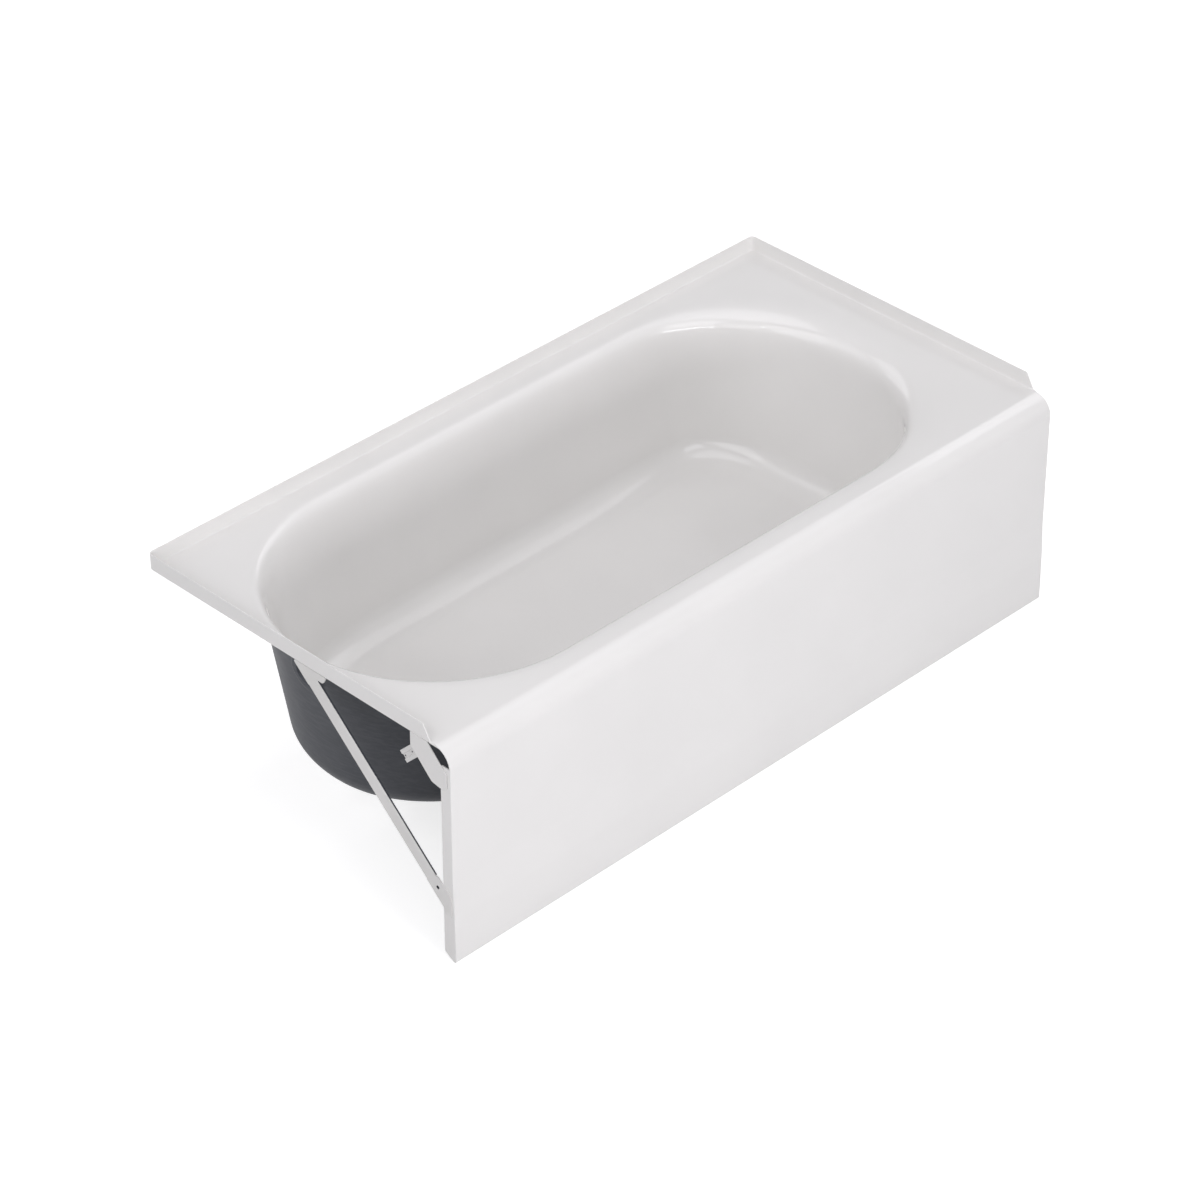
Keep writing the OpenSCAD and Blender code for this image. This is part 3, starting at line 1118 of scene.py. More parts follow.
@dataclass(frozen=True)
class BathSizes:
    """Sizes in millimetres that the basin's form needs."""

    bath_l: float = 1524.0
    bath_w: float = 762.0
    deck_h: float = 445.0
    basin_d: float = 321.0
    floor_fall: float = 8.0
    rim_left: float = 38.0
    rim_right: float = 114.0
    rim_front: float = 98.0
    rim_back: float = 62.0
    roll_left: float = 26.0
    roll_right: float = 84.0
    roll_front: float = 55.0
    roll_back: float = 26.0
    draft_left: float = 9.5
    draft_right: float = 11.5
    draft_front: float = 3.0
    draft_back: float = 3.0
    fillet_left: float = 42.0
    fillet_right: float = 42.0
    fillet_front: float = 62.0
    fillet_back: float = 62.0
    reach_left: float = 316.0
    reach_right: float = 308.0
    reach_floor_left: float = 380.0
    reach_floor_right: float = 140.0
    full_rim_left: float = 2.0
    full_rim_right: float = 2.8
    full_left: float = 2.0
    full_right: float = 2.0
    full_floor_left: float = 2.1
    full_floor_right: float = 2.9


def input_name(size: str) -> str:
    """The node input's name of a size."""
    return size.replace("_", " ").title()


@dataclass
class BasinForm:
    """The rule that shapes the basin, as rows down the wall and columns round it."""

    sizes: BathSizes = field(default_factory=BathSizes)
    roll_h: float = 60.0
    roll_full: float = 3.4
    seat_foot: float = 105.0
    fillet_h: float = 45.0
    fall_power: float = 3.0
    deck_share: float = -0.01
    floor_shares: tuple[float, ...] = (1.04, 1.1)
    roll_rows: int = 34
    seat_rows: int = 14
    wall_rows: int = 13
    fillet_rows: int = 20
    end_columns: int = 96
    side_columns: int = 14
    seat_columns: int = 48
    seat_angle: float = 9.5
    seat_clear: float = 0.01
    spread_left: float = 2.0
    spread_right: float = 2.5
    half_share: float = 0.38
    roll_samples: int = 4000
    end_samples: int = 3001

    def __post_init__(self) -> None:
        """Builds the node tree and the base grid's rows and columns."""
        self.rows = self._rows()
        self.columns = self._columns()
        self.builder = self._tree()

    def _roll(self, angle: float) -> Point:
        """Share of the roll's width and of its height, an angle along it."""
        power = 2 / self.roll_full
        return math.sin(angle) ** power, 1 - max(math.cos(angle), 0) ** power

    def _rows(self) -> list[tuple[float, float, float]]:
        """Drop, share of the roll and share of the fillet of each row.

        Returns:
            The rows from the rim down to the middle of the floor.
        """
        wide = (self.sizes.roll_left + self.sizes.roll_front) / 2
        fine = [math.pi / 2 * k / self.roll_samples for k in range(self.roll_samples + 1)]
        line = [(wide * out, self.roll_h * down) for out, down in map(self._roll, fine)]
        steps = [math.dist(p, q) for p, q in zip(line, line[1:])]
        way = np.concatenate([[0], np.cumsum(steps)])
        angles = [0.0]
        for k in range(1, self.roll_rows):
            mark = way[-1] * k / self.roll_rows * JUST_SHORT
            angles.append(fine[int(np.searchsorted(way, mark))])
        rows = [(0.0, self.deck_share, 0.0)]
        for out, down in map(self._roll, [*angles, math.pi / 2]):
            rows.append((self.roll_h * down, out, 0.0))
        start = self.sizes.basin_d - self.fillet_h
        for top, foot, count in (
            (self.roll_h, self.seat_foot, self.seat_rows),
            (self.seat_foot, start, self.wall_rows),
        ):
            rows += [(top + (foot - top) * k / count, 1.0, 0.0) for k in range(1, count + 1)]
        for k in range(1, self.fillet_rows + 1):
            a = math.pi / 2 * k / self.fillet_rows
            rows.append((start + self.fillet_h * math.sin(a), 1.0, 1 - math.cos(a)))
        rows += [(self.sizes.basin_d, 1.0, share) for share in self.floor_shares]
        return rows

    def _columns(self) -> list[tuple[float, float, float]]:
        """Angle, end (0 left, 1 right) and share along the straight side of each column.

        Returns:
            The columns, anticlockwise from the front of the right end.
        """
        right = self._even_angles(self.sizes.reach_right, self.spread_right)
        left = self._even_angles(self.sizes.reach_left, self.spread_left)
        fine = math.radians(self.seat_angle)
        left = [a for a in left if abs(a) > fine + self.seat_clear]
        left = sorted([*left, *np.linspace(-fine, fine, self.seat_columns)])
        count = self.side_columns
        ease = [(1 - math.cos(math.pi * k / count)) / 2 for k in range(count)]
        columns = [(a, 1.0, 0.0) for a in right[:-1]]
        columns += [(math.pi / 2, 0.0, 1 - share) for share in ease]
        columns += [(math.pi + a, 0.0, 0.0) for a in left[:-1]]
        columns += [(1.5 * math.pi, 0.0, share) for share in ease]
        return columns

    def _even_angles(self, reach: float, full: float) -> list[float]:
        """Angles from -90 to 90 degrees at even steps along a superellipse.

        Args:
            reach: Length of the superellipse's half.
            full: Its exponent.

        Returns:
            The angles, in radians.
        """
        half = self.sizes.bath_w * self.half_share
        fine = np.linspace(0, math.pi / 2, self.end_samples)
        x = reach * np.abs(np.cos(fine)) ** (2 / full)
        y = half * np.abs(np.sin(fine)) ** (2 / full)
        way = np.concatenate([[0], np.cumsum(np.hypot(np.diff(x), np.diff(y)))])
        found = np.interp(np.linspace(0, way[-1], self.end_columns // 2 + 1), way, fine)
        found[0], found[-1] = 0.0, math.pi / 2
        return [-a for a in found[:0:-1]] + list(found)

    def _tree(self) -> TreeBuilder:
        """The node tree that puts each point of the base grid on the basin's wall.

        Returns:
            The tree's builder.
        """
        build = TreeBuilder("basin_wall")
        names = list(asdict(self.sizes))
        for name in (*names, "skin"):
            build.add_input(input_name(name))
        build.add_input("Material", "NodeSocketMaterial")
        size = {name: build.size(input_name(name)) for name in names}
        drop, share, toe = (build.attribute(n) for n in ("drop", "share", "toe"))
        angle, end, along = (build.attribute(n) for n in ("angle", "end", "along"))
        out = 1.0 - share
        depth = drop / size["basin_d"]
        inset, reach, full = {}, {}, {}
        for side in Side:
            word = side.name.lower()
            slope = size[f"draft_{word}"].math("RADIANS").math("TANGENT")
            inset[side] = (
                size[f"rim_{word}"]
                - size[f"roll_{word}"] * out
                + slope * drop
                + size[f"fillet_{word}"] * toe
            )
        for side in (Side.LEFT, Side.RIGHT):
            word = side.name.lower()
            top = size[f"full_{word}"]
            reach[side] = (
                size[f"reach_{word}"].mix(size[f"reach_floor_{word}"], depth)
                + size[f"roll_{word}"] * out
            )
            full[side] = (
                top.mix(size[f"full_floor_{word}"], depth)
                + (size[f"full_rim_{word}"] - top) * out
            )
        left_x = size["bath_l"] * -0.5 + inset[Side.LEFT] + reach[Side.LEFT]
        right_x = size["bath_l"] * 0.5 - inset[Side.RIGHT] - reach[Side.RIGHT]
        power = 2.0 / full[Side.LEFT].mix(full[Side.RIGHT], end)
        own_reach = reach[Side.LEFT].mix(reach[Side.RIGHT], end)
        middle = left_x.mix(right_x, end + along)
        x = middle + own_reach * angle.math("COSINE").signed_power(power)
        half_w = (size["bath_w"] - inset[Side.FRONT] - inset[Side.BACK]) * 0.5
        y = (inset[Side.FRONT] - inset[Side.BACK]) * 0.5 + half_w * angle.math(
            "SINE"
        ).signed_power(power)
        fall = depth.math("POWER", self.fall_power) * size["floor_fall"] * x / size["bath_l"]
        z = size["deck_h"] - drop + fall
        place = build.node("GeometryNodeSetPosition")
        build.link(build.given("Geometry"), place.inputs["Geometry"])
        build.link(build.vector(x * MM, y * MM, z * MM), place.inputs["Position"])
        build.end_with(self._thickened(build, place.outputs["Geometry"]))
        return build

    def _thickened(
        self, build: TreeBuilder, wall: bpy.types.NodeSocket
    ) -> bpy.types.NodeSocket:
        """Moves the wall outwards by the skin, and its edge rows straight down.

        Args:
            build: The tree.
            wall: The wall's geometry.

        Returns:
            The moved geometry.
        """
        edge = build.attribute("edge")
        skin = build.size("Skin") * MM
        normal = build.node("ShaderNodeSeparateXYZ")
        build.link(build.node("GeometryNodeInputNormal").outputs[0], normal.inputs[0])
        inner = [Field(build.tree, s) for s in normal.outputs]
        held = 1.0 - edge
        move = build.vector(
            inner[0] * skin * held * -1.0,
            inner[1] * skin * held * -1.0,
            (inner[2] * held + edge) * skin * -1.0,
        )
        shift = build.node("GeometryNodeSetPosition")
        build.link(wall, shift.inputs["Geometry"])
        build.link(move, shift.inputs["Offset"])
        return shift.outputs["Geometry"]

    def wall(self, skin: float, material: bpy.types.Material) -> np.ndarray:
        """The wall's points, moved outwards by a skin.

        Args:
            skin: The distance in millimetres.
            material: The material given to the tree.

        Returns:
            Rows by columns by three, in millimetres.
        """
        high, wide = len(self.rows), len(self.columns)
        sketch = MeshSketch()
        sketch.grid(self._rough_grid(high, wide), closed=True)
        base = bpy.data.meshes.new("basin_grid")
        base.from_pydata(sketch.points, [], sketch.faces)
        edge = [float(j <= 1 or j >= high - 3) for j in range(high)]
        by_row = zip(("drop", "share", "toe", "edge"), (*zip(*self.rows), edge), strict=True)
        by_column = zip(("angle", "end", "along"), zip(*self.columns), strict=True)
        values = {name: np.repeat(data, wide) for name, data in by_row}
        values |= {name: np.tile(data, high) for name, data in by_column}
        for name, data in values.items():
            attribute = base.attributes.new(name, "FLOAT", "POINT")
            attribute.data.foreach_set("value", data.astype(np.float32))
        inputs = {input_name(name): size for name, size in asdict(self.sizes).items()}
        made = self.builder.evaluate(base, {**inputs, "Skin": skin, "Material": material})
        points = np.zeros(len(made.vertices) * 3)
        made.vertices.foreach_get("co", points)
        bpy.data.meshes.remove(made)
        return points.reshape(high, wide, 3) / MM

    def _rough_grid(self, high: int, wide: int) -> np.ndarray:
        """A plain bowl of points, before the tree puts them in place."""
        turn = np.linspace(0, math.tau, wide, endpoint=False)
        flat = np.stack([np.cos(turn), np.sin(turn), np.zeros(wide)], 1)
        return np.array([flat * (2 - j / high) - (0, 0, j / high) for j in range(high)])

    def floor_z(self, x: float) -> float:
        """Height of the floor's inner face."""
        s = self.sizes
        return s.deck_h - s.basin_d + s.floor_fall * x / s.bath_l


@dataclass
class Seat:
    """A round flat pressed into the basin, with its hole."""

    at: Vector
    axis: Vector
    flat_r: float
    blend_r: float
    depth: float
    hole_r: float
    reach: float = 40.0
    past_top: float = 12.0
    past_foot: float = 30.0
    edge_steps: int = 4

    def press(self, points: np.ndarray, skin: float) -> np.ndarray:
        """Moves the points near the seat's axis onto its flat.

        Args:
            points: Points in millimetres, in any array shape that ends in three.
            skin: How far behind the basin's face these points lie.

        Returns:
            The moved points.
        """
        axis = np.array(self.axis)
        rel = points - np.array(self.at)
        high = rel @ axis
        radial = np.linalg.norm(rel - high[..., None] * axis, axis=-1)
        inner = self.flat_r + skin * SEAT_GROWTH
        share = np.clip((radial - inner) / (self.blend_r - self.flat_r), 0, 1)
        share = 1 - share * share * (3 - 2 * share)
        share = np.where(np.abs(high) < self.reach, share, 0)
        return points + ((-self.depth - skin - high) * share)[..., None] * axis

    def cutter(self, clear: float, skins: tuple[float, float], edge_r: float) -> bpy.types.Mesh:
        """The turned cutter of the hole, which also rounds its two edges.

        Args:
            clear: Extra radius.
            skins: Distance of the two faces behind the basin's face.
            edge_r: Radius of the edges.

        Returns:
            The cutter.
        """
        top, foot = -self.depth - skins[0], -self.depth - skins[1]
        wide = self.hole_r + clear + edge_r
        profile = [
            (wide, foot - self.past_foot),
            *arc((wide, foot + edge_r), edge_r, 270, 180, self.edge_steps),
            *arc((wide, top - edge_r), edge_r, 180, 90, self.edge_steps),
            (wide, top + self.past_top),
        ]
        return lathed(profile, self.at, self.axis)


# Sub-assemblies


@dataclass
class BathShell:
    """The enamelled steel shell: deck, basin and tiling flange."""

    form: BasinForm
    sheet_t: float = 2.0
    deck_front: float = -340.0
    flange_rise: float = 31.0
    flange_root_r: float = 3.5
    flange_end_foot: float = 48.0
    flange_end_top: float = 66.0
    corner_r: float = 10.0
    support_t: float = 9.5
    lower_r: float = 1.6
    hole_edge_r: float = 0.7
    smooth_to: float = 32.0
    drain_x: float = 222.0
    drain_d: float = 52.0
    drain_seat_d: float = 76.0
    drain_seat: float = 2.4
    drain_blend: Point = (3.5, 3.0)
    overflow_d: float = 48.0
    overflow_drop: float = 62.0
    overflow_seat: float = 1.6
    overflow_seat_d: float = 64.0
    overflow_blend: Point = (3.0, 4.0)
    side_stations: tuple[float, ...] = (-250.0, -120.0, 0.0, 150.0, 280.0)
    back_stations: tuple[float, ...] = (-600.0, -300.0, 0.0)
    slope_steps: int = 12
    corner_steps: int = 12
    bend_steps: int = 8
    edge_steps: int = 6
    round_steps: int = 8
    round_count: int = 72
    rounds_within: Point = (5.0, 1.5)
    round_past: float = 2.0
    straight: float = 4.0
    lower_straight: Point = (0.4, 1.5)

    @property
    def middle_y(self) -> float:
        """Middle of the basin across the bath."""
        s = self.form.sizes
        return (s.rim_front - s.rim_back) / 2

    def seats(self) -> tuple[Seat, Seat]:
        """The outlet's seat and the overflow's.

        Returns:
            Both seats, in the row frame.
        """
        s = self.form.sizes
        x = -s.bath_l / 2 + self.drain_x
        drain = Seat(
            at=Vector((x, self.middle_y, self.form.floor_z(x))),
            axis=Vector((0, 0, 1)),
            flat_r=self.drain_seat_d / 2 - self.drain_blend[0],
            blend_r=self.drain_seat_d / 2 + self.drain_blend[1],
            depth=self.drain_seat,
            hole_r=self.drain_d / 2,
        )
        slope = math.radians(s.draft_left)
        wall_x = -s.bath_l / 2 + s.rim_left + math.tan(slope) * self.overflow_drop
        overflow = Seat(
            at=Vector((wall_x, self.middle_y, s.deck_h - self.overflow_drop)),
            axis=Vector((math.cos(slope), 0, math.sin(slope))),
            flat_r=self.overflow_seat_d / 2 - self.overflow_blend[0],
            blend_r=self.overflow_seat_d / 2 + self.overflow_blend[1],
            depth=self.overflow_seat,
            hole_r=self.overflow_d / 2,
        )
        return drain, overflow

    def rounds(self, grow: float) -> list[list[Point]]:
        """Circles round the outlet that the floor's faces follow.

        Args:
            grow: What is added to each radius, for the backing's skin.

        Returns:
            The circles, from the innermost outwards.
        """
        drain = self.seats()[0]
        first, last, steps = drain.flat_r + grow, drain.blend_r + grow, self.round_steps
        radii = [first + (last - first) * k / steps for k in range(steps + 1)]
        radii = [*(first - by for by in self.rounds_within), *radii, last + self.round_past]
        return [circle((drain.at.x, drain.at.y), r, self.round_count) for r in radii]

    def half_path(self) -> list[tuple[Point, Point]]:
        """Outer plan line from the front left end to the middle of the back, with its inward side.

        Returns:
            For each station the point and the unit vector inwards.
        """
        s, r = self.form.sizes, self.corner_r
        left, back = -s.bath_l / 2, s.bath_w / 2
        foot = -s.bath_w / 2 + self.flange_end_foot
        top = -s.bath_w / 2 + self.flange_end_top
        slope = np.linspace(foot, top, self.slope_steps + 1)
        ys = [self.deck_front, foot - 3, *slope, top + 2, *self.side_stations, back - r - 3]
        line = [((left, float(y)), (1.0, 0.0)) for y in ys]
        for x, y in arc((0.0, 0.0), 1.0, 180, 90, self.corner_steps):
            line.append(((left + r + r * x, back - r + r * y), (-x, -y)))
        line += [((x, back), (0.0, -1.0)) for x in (left + r + 3, *self.back_stations)]
        return line

    def path(self) -> list[tuple[Point, Point]]:
        """The whole outer line, from the front left end round the back to the front right end."""
        half = self.half_path()
        mirrored = [((-p[0], p[1]), (-n[0], n[1])) for p, n in reversed(half[:-1])]
        return half + mirrored

    def profile(self) -> list[Point]:
        """The flange's section: distance inwards from its outer face, and height.

        Returns:
            The section's points.
        """
        t, root, lower = self.sheet_t, self.flange_root_r, self.lower_r
        deck = self.form.sizes.deck_h
        top, low, half = deck + self.flange_rise, deck - t, t / 2
        return [
            (self.support_t, deck),
            *arc((t + root, deck + root), root, 270, 180, self.bend_steps),
            (t, deck + root + self.straight),
            (t, top - half - 1),
            *arc((half, top - half), half, 0, 180, self.bend_steps),
            (0, top - half - 1),
            (0, deck + self.straight),
            (0, low + lower + self.lower_straight[0]),
            *arc((lower, low + lower), lower, 180, 270, self.edge_steps),
            (lower + self.lower_straight[1], low),
            (self.support_t, low),
        ]

    def rise_at(self, y: float) -> float:
        """How high the flange stands above the deck at a distance from the front."""
        front = -self.form.sizes.bath_w / 2
        share = (y - front - self.flange_end_foot) / (self.flange_end_top - self.flange_end_foot)
        return self.flange_rise * min(max(share, 0.0), 1.0)

    def add_skin(
        self,
        sketch: MeshSketch,
        skin: float,
        flip: bool,
        outline: Sequence[Point],
        material: bpy.types.Material,
    ) -> None:
        """Adds one face of a layer: the basin's wall, the deck round it and the floor.

        Args:
            sketch: The layer's sketch.
            skin: How far behind the basin's face it lies.
            flip: Whether it looks out of the basin.
            outline: The deck's outer line.
            material: The layer's material.
        """
        s = self.form.sizes
        drain, overflow = self.seats()
        rows = overflow.press(self.form.wall(skin, material), skin)
        rim, foot = ([tuple(p[:2]) for p in row] for row in (rows[0], rows[-1]))
        sketch.grid(rows, closed=True, flip=flip)
        sketch.flat(outline, s.deck_h - skin, flip=flip, holes=[rim])
        floor = MeshSketch()
        floor.flat(
            foot,
            s.deck_h - s.basin_d - skin,
            flip=flip,
            loops=self.rounds(skin * SEAT_GROWTH),
            fall=s.floor_fall / s.bath_l,
        )
        sketch.add(drain.press(np.array(floor.points), skin), floor.faces)

    def mesh(self, material: bpy.types.Material) -> bpy.types.Mesh:
        """Builds the whole shell as one closed mesh.

        Args:
            material: The enamel.

        Returns:
            The mesh.
        """
        deck, skins = self.form.sizes.deck_h, (0.0, self.sheet_t)
        outline = self.deck_outline()
        sketch = MeshSketch()
        for skin, flip in zip(skins, (False, True), strict=True):
            self.add_skin(sketch, skin, flip, outline, material)
        self.add_flange(sketch)
        left, right, low = outline[0], outline[-1], deck - self.sheet_t
        front = [(*left, deck), (*right, deck), (*right, low), (*left, low)]
        sketch.add(front, [[0, 1, 2, 3]])
        made = face_outwards(sketch.mesh("shell"))
        holes = [seat.cutter(0.0, skins, self.hole_edge_r) for seat in self.seats()]
        return smooth_by_angle(cut_with(made, holes), self.smooth_to)

    def deck_outline(self) -> list[Point]:
        """The deck's outline inside the flange, from the front left corner round the back."""
        return [
            (p[0] + n[0] * self.support_t, p[1] + n[1] * self.support_t) for p, n in self.path()
        ]

    def add_flange(self, sketch: MeshSketch) -> None:
        """Adds the flange and the outer strip of the deck, with their front ends.

        Args:
            sketch: The shell's sketch.
        """
        deck = self.form.sizes.deck_h
        profile = self.profile()
        rows = []
        for point, inwards in self.path():
            roof = deck + self.rise_at(point[1])
            rows.append(
                [
                    (point[0] + inwards[0] * t, point[1] + inwards[1] * t, min(z, roof))
                    for t, z in profile
                ]
            )
        wide = len(profile)
        first = sketch.grid(np.array(rows), closed=False)
        last = first + (len(rows) - 1) * wide
        sketch.faces += [
            [first + k for k in range(wide)],
            [last + k for k in reversed(range(wide))],
        ]

    def dress(self, finishes: Finishes) -> None:
        """Builds and hands over the shell."""
        enamel = finishes.enamel
        settle_piece(self.mesh(enamel), "enamelled_shell", Slot.ENAMEL, enamel, "bath_shell")


@dataclass
class CompositeBacking:
    """The moulded layer under the deck and round the basin."""

    shell: BathShell
    bond_gap: float = 0.2
    backing_t: float = 6.0
    margin: float = 11.0
    front_edge: float = -327.4
    corner_r: float = 6.0
    hole_clear: float = 1.0
    cut_past: float = 5.0
    cut_h: float = 30.0
    front_spare: float = 20.0
    hole_edge_r: float = 0.8
    smooth_to: float = 35.0

    def mesh(self, material: bpy.types.Material) -> bpy.types.Mesh:
        """Builds the backing as one closed mesh.

        Args:
            material: The composite.

        Returns:
            The mesh.
        """
        s = self.shell.form.sizes
        near = self.shell.sheet_t + self.bond_gap
        skins = (near, near + self.backing_t)
        outline = self.outline()
        sketch = MeshSketch()
        for skin, flip in zip(skins, (False, True), strict=True):
            self.shell.add_skin(sketch, skin, flip, outline, material)
        count = len(outline)
        sketch.add(
            [(*p, s.deck_h - skin) for skin in skins for p in outline],
            [[k, count + k, count + (k + 1) % count, (k + 1) % count] for k in range(count)],
        )
        made = face_outwards(sketch.mesh("backing"))
        far_x, far_y = s.bath_l / 2 + self.cut_past, s.bath_w / 2 + self.cut_past
        top = s.deck_h - near
        front = self.block(
            (-far_x, -far_y, top - self.cut_h), (far_x, self.front_edge, top + self.cut_h)
        )
        holes = [
            seat.cutter(self.hole_clear, skins, self.hole_edge_r) for seat in self.shell.seats()
        ]
        return smooth_by_angle(cut_with(made, [front, *holes]), self.smooth_to)

    def outline(self) -> list[Point]:
        """The plate's outline, anticlockwise, with round corners at the back.

        Returns:
            The outline's points.
        """
        s = self.shell.form.sizes
        side, back = s.bath_l / 2 - self.margin, s.bath_w / 2 - self.margin
        front = self.front_edge - self.front_spare
        return rounded(
            [(-side, front), (side, front), (side, back), (-side, back)],
            [0, 0, self.corner_r, self.corner_r],
        )

    def block(self, low: Sequence[float], high: Sequence[float]) -> bpy.types.Mesh:
        """A box between its lowest and its highest corner, in millimetres.

        Args:
            low: Lowest corner.
            high: Highest corner.

        Returns:
            The box.
        """
        sketch = MeshSketch()
        sketch.add(
            product(*zip(low, high, strict=True)),
            [[0, 1, 3, 2], [4, 6, 7, 5], [0, 4, 5, 1], [2, 3, 7, 6], [0, 2, 6, 4], [1, 5, 7, 3]],
        )
        return face_outwards(sketch.mesh("block"))

    def dress(self, finishes: Finishes) -> None:
        """Builds and hands over the backing."""
        dark = finishes.composite
        settle_piece(self.mesh(dark), "moulded_backing", Slot.COMPOSITE, dark, "composite_backing")


@dataclass(frozen=True)
class Stock:
    """Stock of one material, which the section tree draws out of flat outlines."""

    builder: TreeBuilder
    material: bpy.types.Material

    def drawn(self, outline: Sequence[Point], start: Matrix, length: float) -> bpy.types.Mesh:
        """A closed prism of a flat outline.

        Args:
            outline: The outline in millimetres, in its own plane.
            start: Where the plane lies, with its third axis as the drawing direction.
            length: Length of the prism in millimetres.

        Returns:
            The mesh, with its faces outwards.
        """
        flat = bpy.data.meshes.new("section")
        points = [(start @ Vector((*p, 0))) * MM for p in outline]
        flat.from_pydata(points, [], [list(range(len(points)))])
        along = (start.to_3x3() @ Vector((0, 0, 1))).normalized()
        inputs = {f"Along {axis}": value for axis, value in zip("XYZ", along, strict=True)}
        inputs |= {"Length": length * MM, "Material": self.material}
        return face_outwards(self.builder.evaluate(flat, inputs))


def softened(
    mesh: bpy.types.Mesh, width: float, steps: int = 2, degrees: float = 30
) -> bpy.types.Mesh:
    """Rounds the edges of a sheet-metal piece and keeps its flats flat.

    Args:
        mesh: The mesh.
        width: Width of the rounds in millimetres.
        steps: Faces to each round.
        degrees: Only edges sharper than this are rounded.

    Returns:
        The finished mesh.
    """
    made = with_modifiers(
        mesh,
        (
            "BEVEL",
            {
                "width": width * MM,
                "segments": steps,
                "limit_method": "ANGLE",
                "angle_limit": math.radians(degrees),
                "use_clamp_overlap": True,
                "miter_outer": "MITER_ARC",
            },
        ),
    )
    made.shade_smooth()
    return with_modifiers(
        made, ("WEIGHTED_NORMAL", {"mode": "FACE_AREA", "weight": 50, "keep_sharp": False})
    )


@dataclass
class ApronPanel:
    """The apron: face, roll up to the deck, foot flange, returns and welding lap."""

    sizes: BathSizes
    sheet_t: float = 2.0
    apron_r: float = 38.0
    apron_set: float = 3.0
    lean_foot: float = 95.0
    lean_top: float = 168.0
    return_w: float = 27.0
    return_drop: float = 35.0
    return_cut: float = 13.0
    return_toe: float = 5.4
    return_radii: tuple[float, ...] = (0, 3, 4, 5, 0)
    hem_w: float = 22.0
    mitre_l: float = 20.0
    apron_lap: float = 12.0
    lap_gap: float = 0.3
    end_gap: float = 2.0
    foot_r: float = 3.0
    crease_r: float = 3.0
    crease_steps: int = 3
    arc_steps: int = 28
    foot_steps: int = 6
    edge_r: float = 0.45
    ground_shade_probe: float = 3.0
    corner_r: float = 1.6
    corner_spare: float = 0.4
    corner_steps: int = 5

    @property
    def half_l(self) -> float:
        """Half the panel's length."""
        return self.sizes.bath_l / 2 - self.end_gap

    def section(self) -> list[Point]:
        """The sheet's section: y from the apron face, z from the floor.

        Returns:
            The section's points.
        """
        t, edge = self.sheet_t, self.apron_set + self.apron_r
        roll = (edge, self.sizes.deck_h - self.apron_r)
        foot = (self.foot_r, self.foot_r)
        lap_top = self.sizes.deck_h - t - self.lap_gap
        joggle, inner_r = self.apron_r / 3, self.apron_r - t
        last = 180 - math.degrees(math.acos(joggle / inner_r))
        line = [
            (self.hem_w, 0.0),
            *arc(foot, self.foot_r, 270, 180, self.foot_steps),
            *self.creased(0.0),
            *arc(roll, self.apron_r, 180, 90, self.arc_steps),
            (edge, lap_top),
            (edge + self.apron_lap, lap_top),
            (edge + self.apron_lap, lap_top - t),
            *arc(roll, inner_r, last, 180, self.arc_steps),
            *self.creased(t)[::-1],
            *arc(foot, self.foot_r - t, 180, 270, self.foot_steps),
            (self.hem_w, t),
        ]
        return line[::-1]

    def creased(self, inner: float) -> list[Point]:
        """The face's line past the two faint creases, moved inwards.

        Args:
            inner: How far the line is moved inwards.

        Returns:
            The line's points.
        """
        lean = self.apron_set / (self.lean_top - self.lean_foot)
        r, steps = self.crease_r, self.crease_steps
        points: list[Point] = []
        for z0, low, high in ((self.lean_foot, 0.0, lean), (self.lean_top, lean, 0.0)):
            base = 0.0 if low == 0.0 else self.apron_set
            for k in range(-steps, steps + 1):
                u = k / steps
                mean = low * u * r if u < 0 else high * u * r
                soft = (high - low) * r * (1 - abs(u)) ** 2 / 4
                points.append((base + mean + soft + inner, z0 + u * r))
        return points

    def return_outline(self) -> list[Point]:
        """The return at the end of the apron, in the end plane.

        Returns:
            The outline's points.
        """
        top = self.sizes.deck_h - self.return_drop
        outline = [
            (0.0, self.foot_r),
            (self.return_toe, 0.0),
            (self.return_w, self.return_cut),
            (self.return_w, top),
            (self.apron_set, top),
        ]
        return rounded(outline, self.return_radii, 5) + self.creased(0.0)[::-1]

    def mitre_outline(self, side: int) -> list[Point]:
        """What is cut off the foot flange at one end, behind the return.

        Args:
            side: -1 at the left end, 1 at the right end.

        Returns:
            The outline on the floor, y from the apron face.
        """
        toe, wide, half = self.return_toe, self.hem_w + 1, self.half_l
        corners = [(half + 1, toe), (half + 1, wide), (half - self.mitre_l, wide)]
        return [(side * x, y) for x, y in corners]

    def across(self, x: float) -> Matrix:
        """A section's plane across the bath, drawn to the right."""
        return Matrix.Translation((x, -self.sizes.bath_w / 2, 0)) @ ALONG_X

    def mesh(self, stock: Stock) -> bpy.types.Mesh:
        """Builds the apron as one closed mesh.

        Args:
            stock: The enamelled sheet.

        Returns:
            The mesh.
        """
        sheet = stock.drawn(self.section(), self.across(-self.half_l), 2 * self.half_l)
        ends = [
            stock.drawn(self.return_outline(), self.across(x), self.sheet_t)
            for x in (-self.half_l, self.half_l - self.sheet_t)
        ]
        below = Matrix.Translation((0, -self.sizes.bath_w / 2, -1))
        mitres = [
            stock.drawn(self.mitre_outline(side), below, self.sheet_t + 2) for side in (-1, 1)
        ]
        made = cut_with(cut_with(sheet, mitres), ends, "UNION")
        return softened(self.corner_rounded(made), self.edge_r)

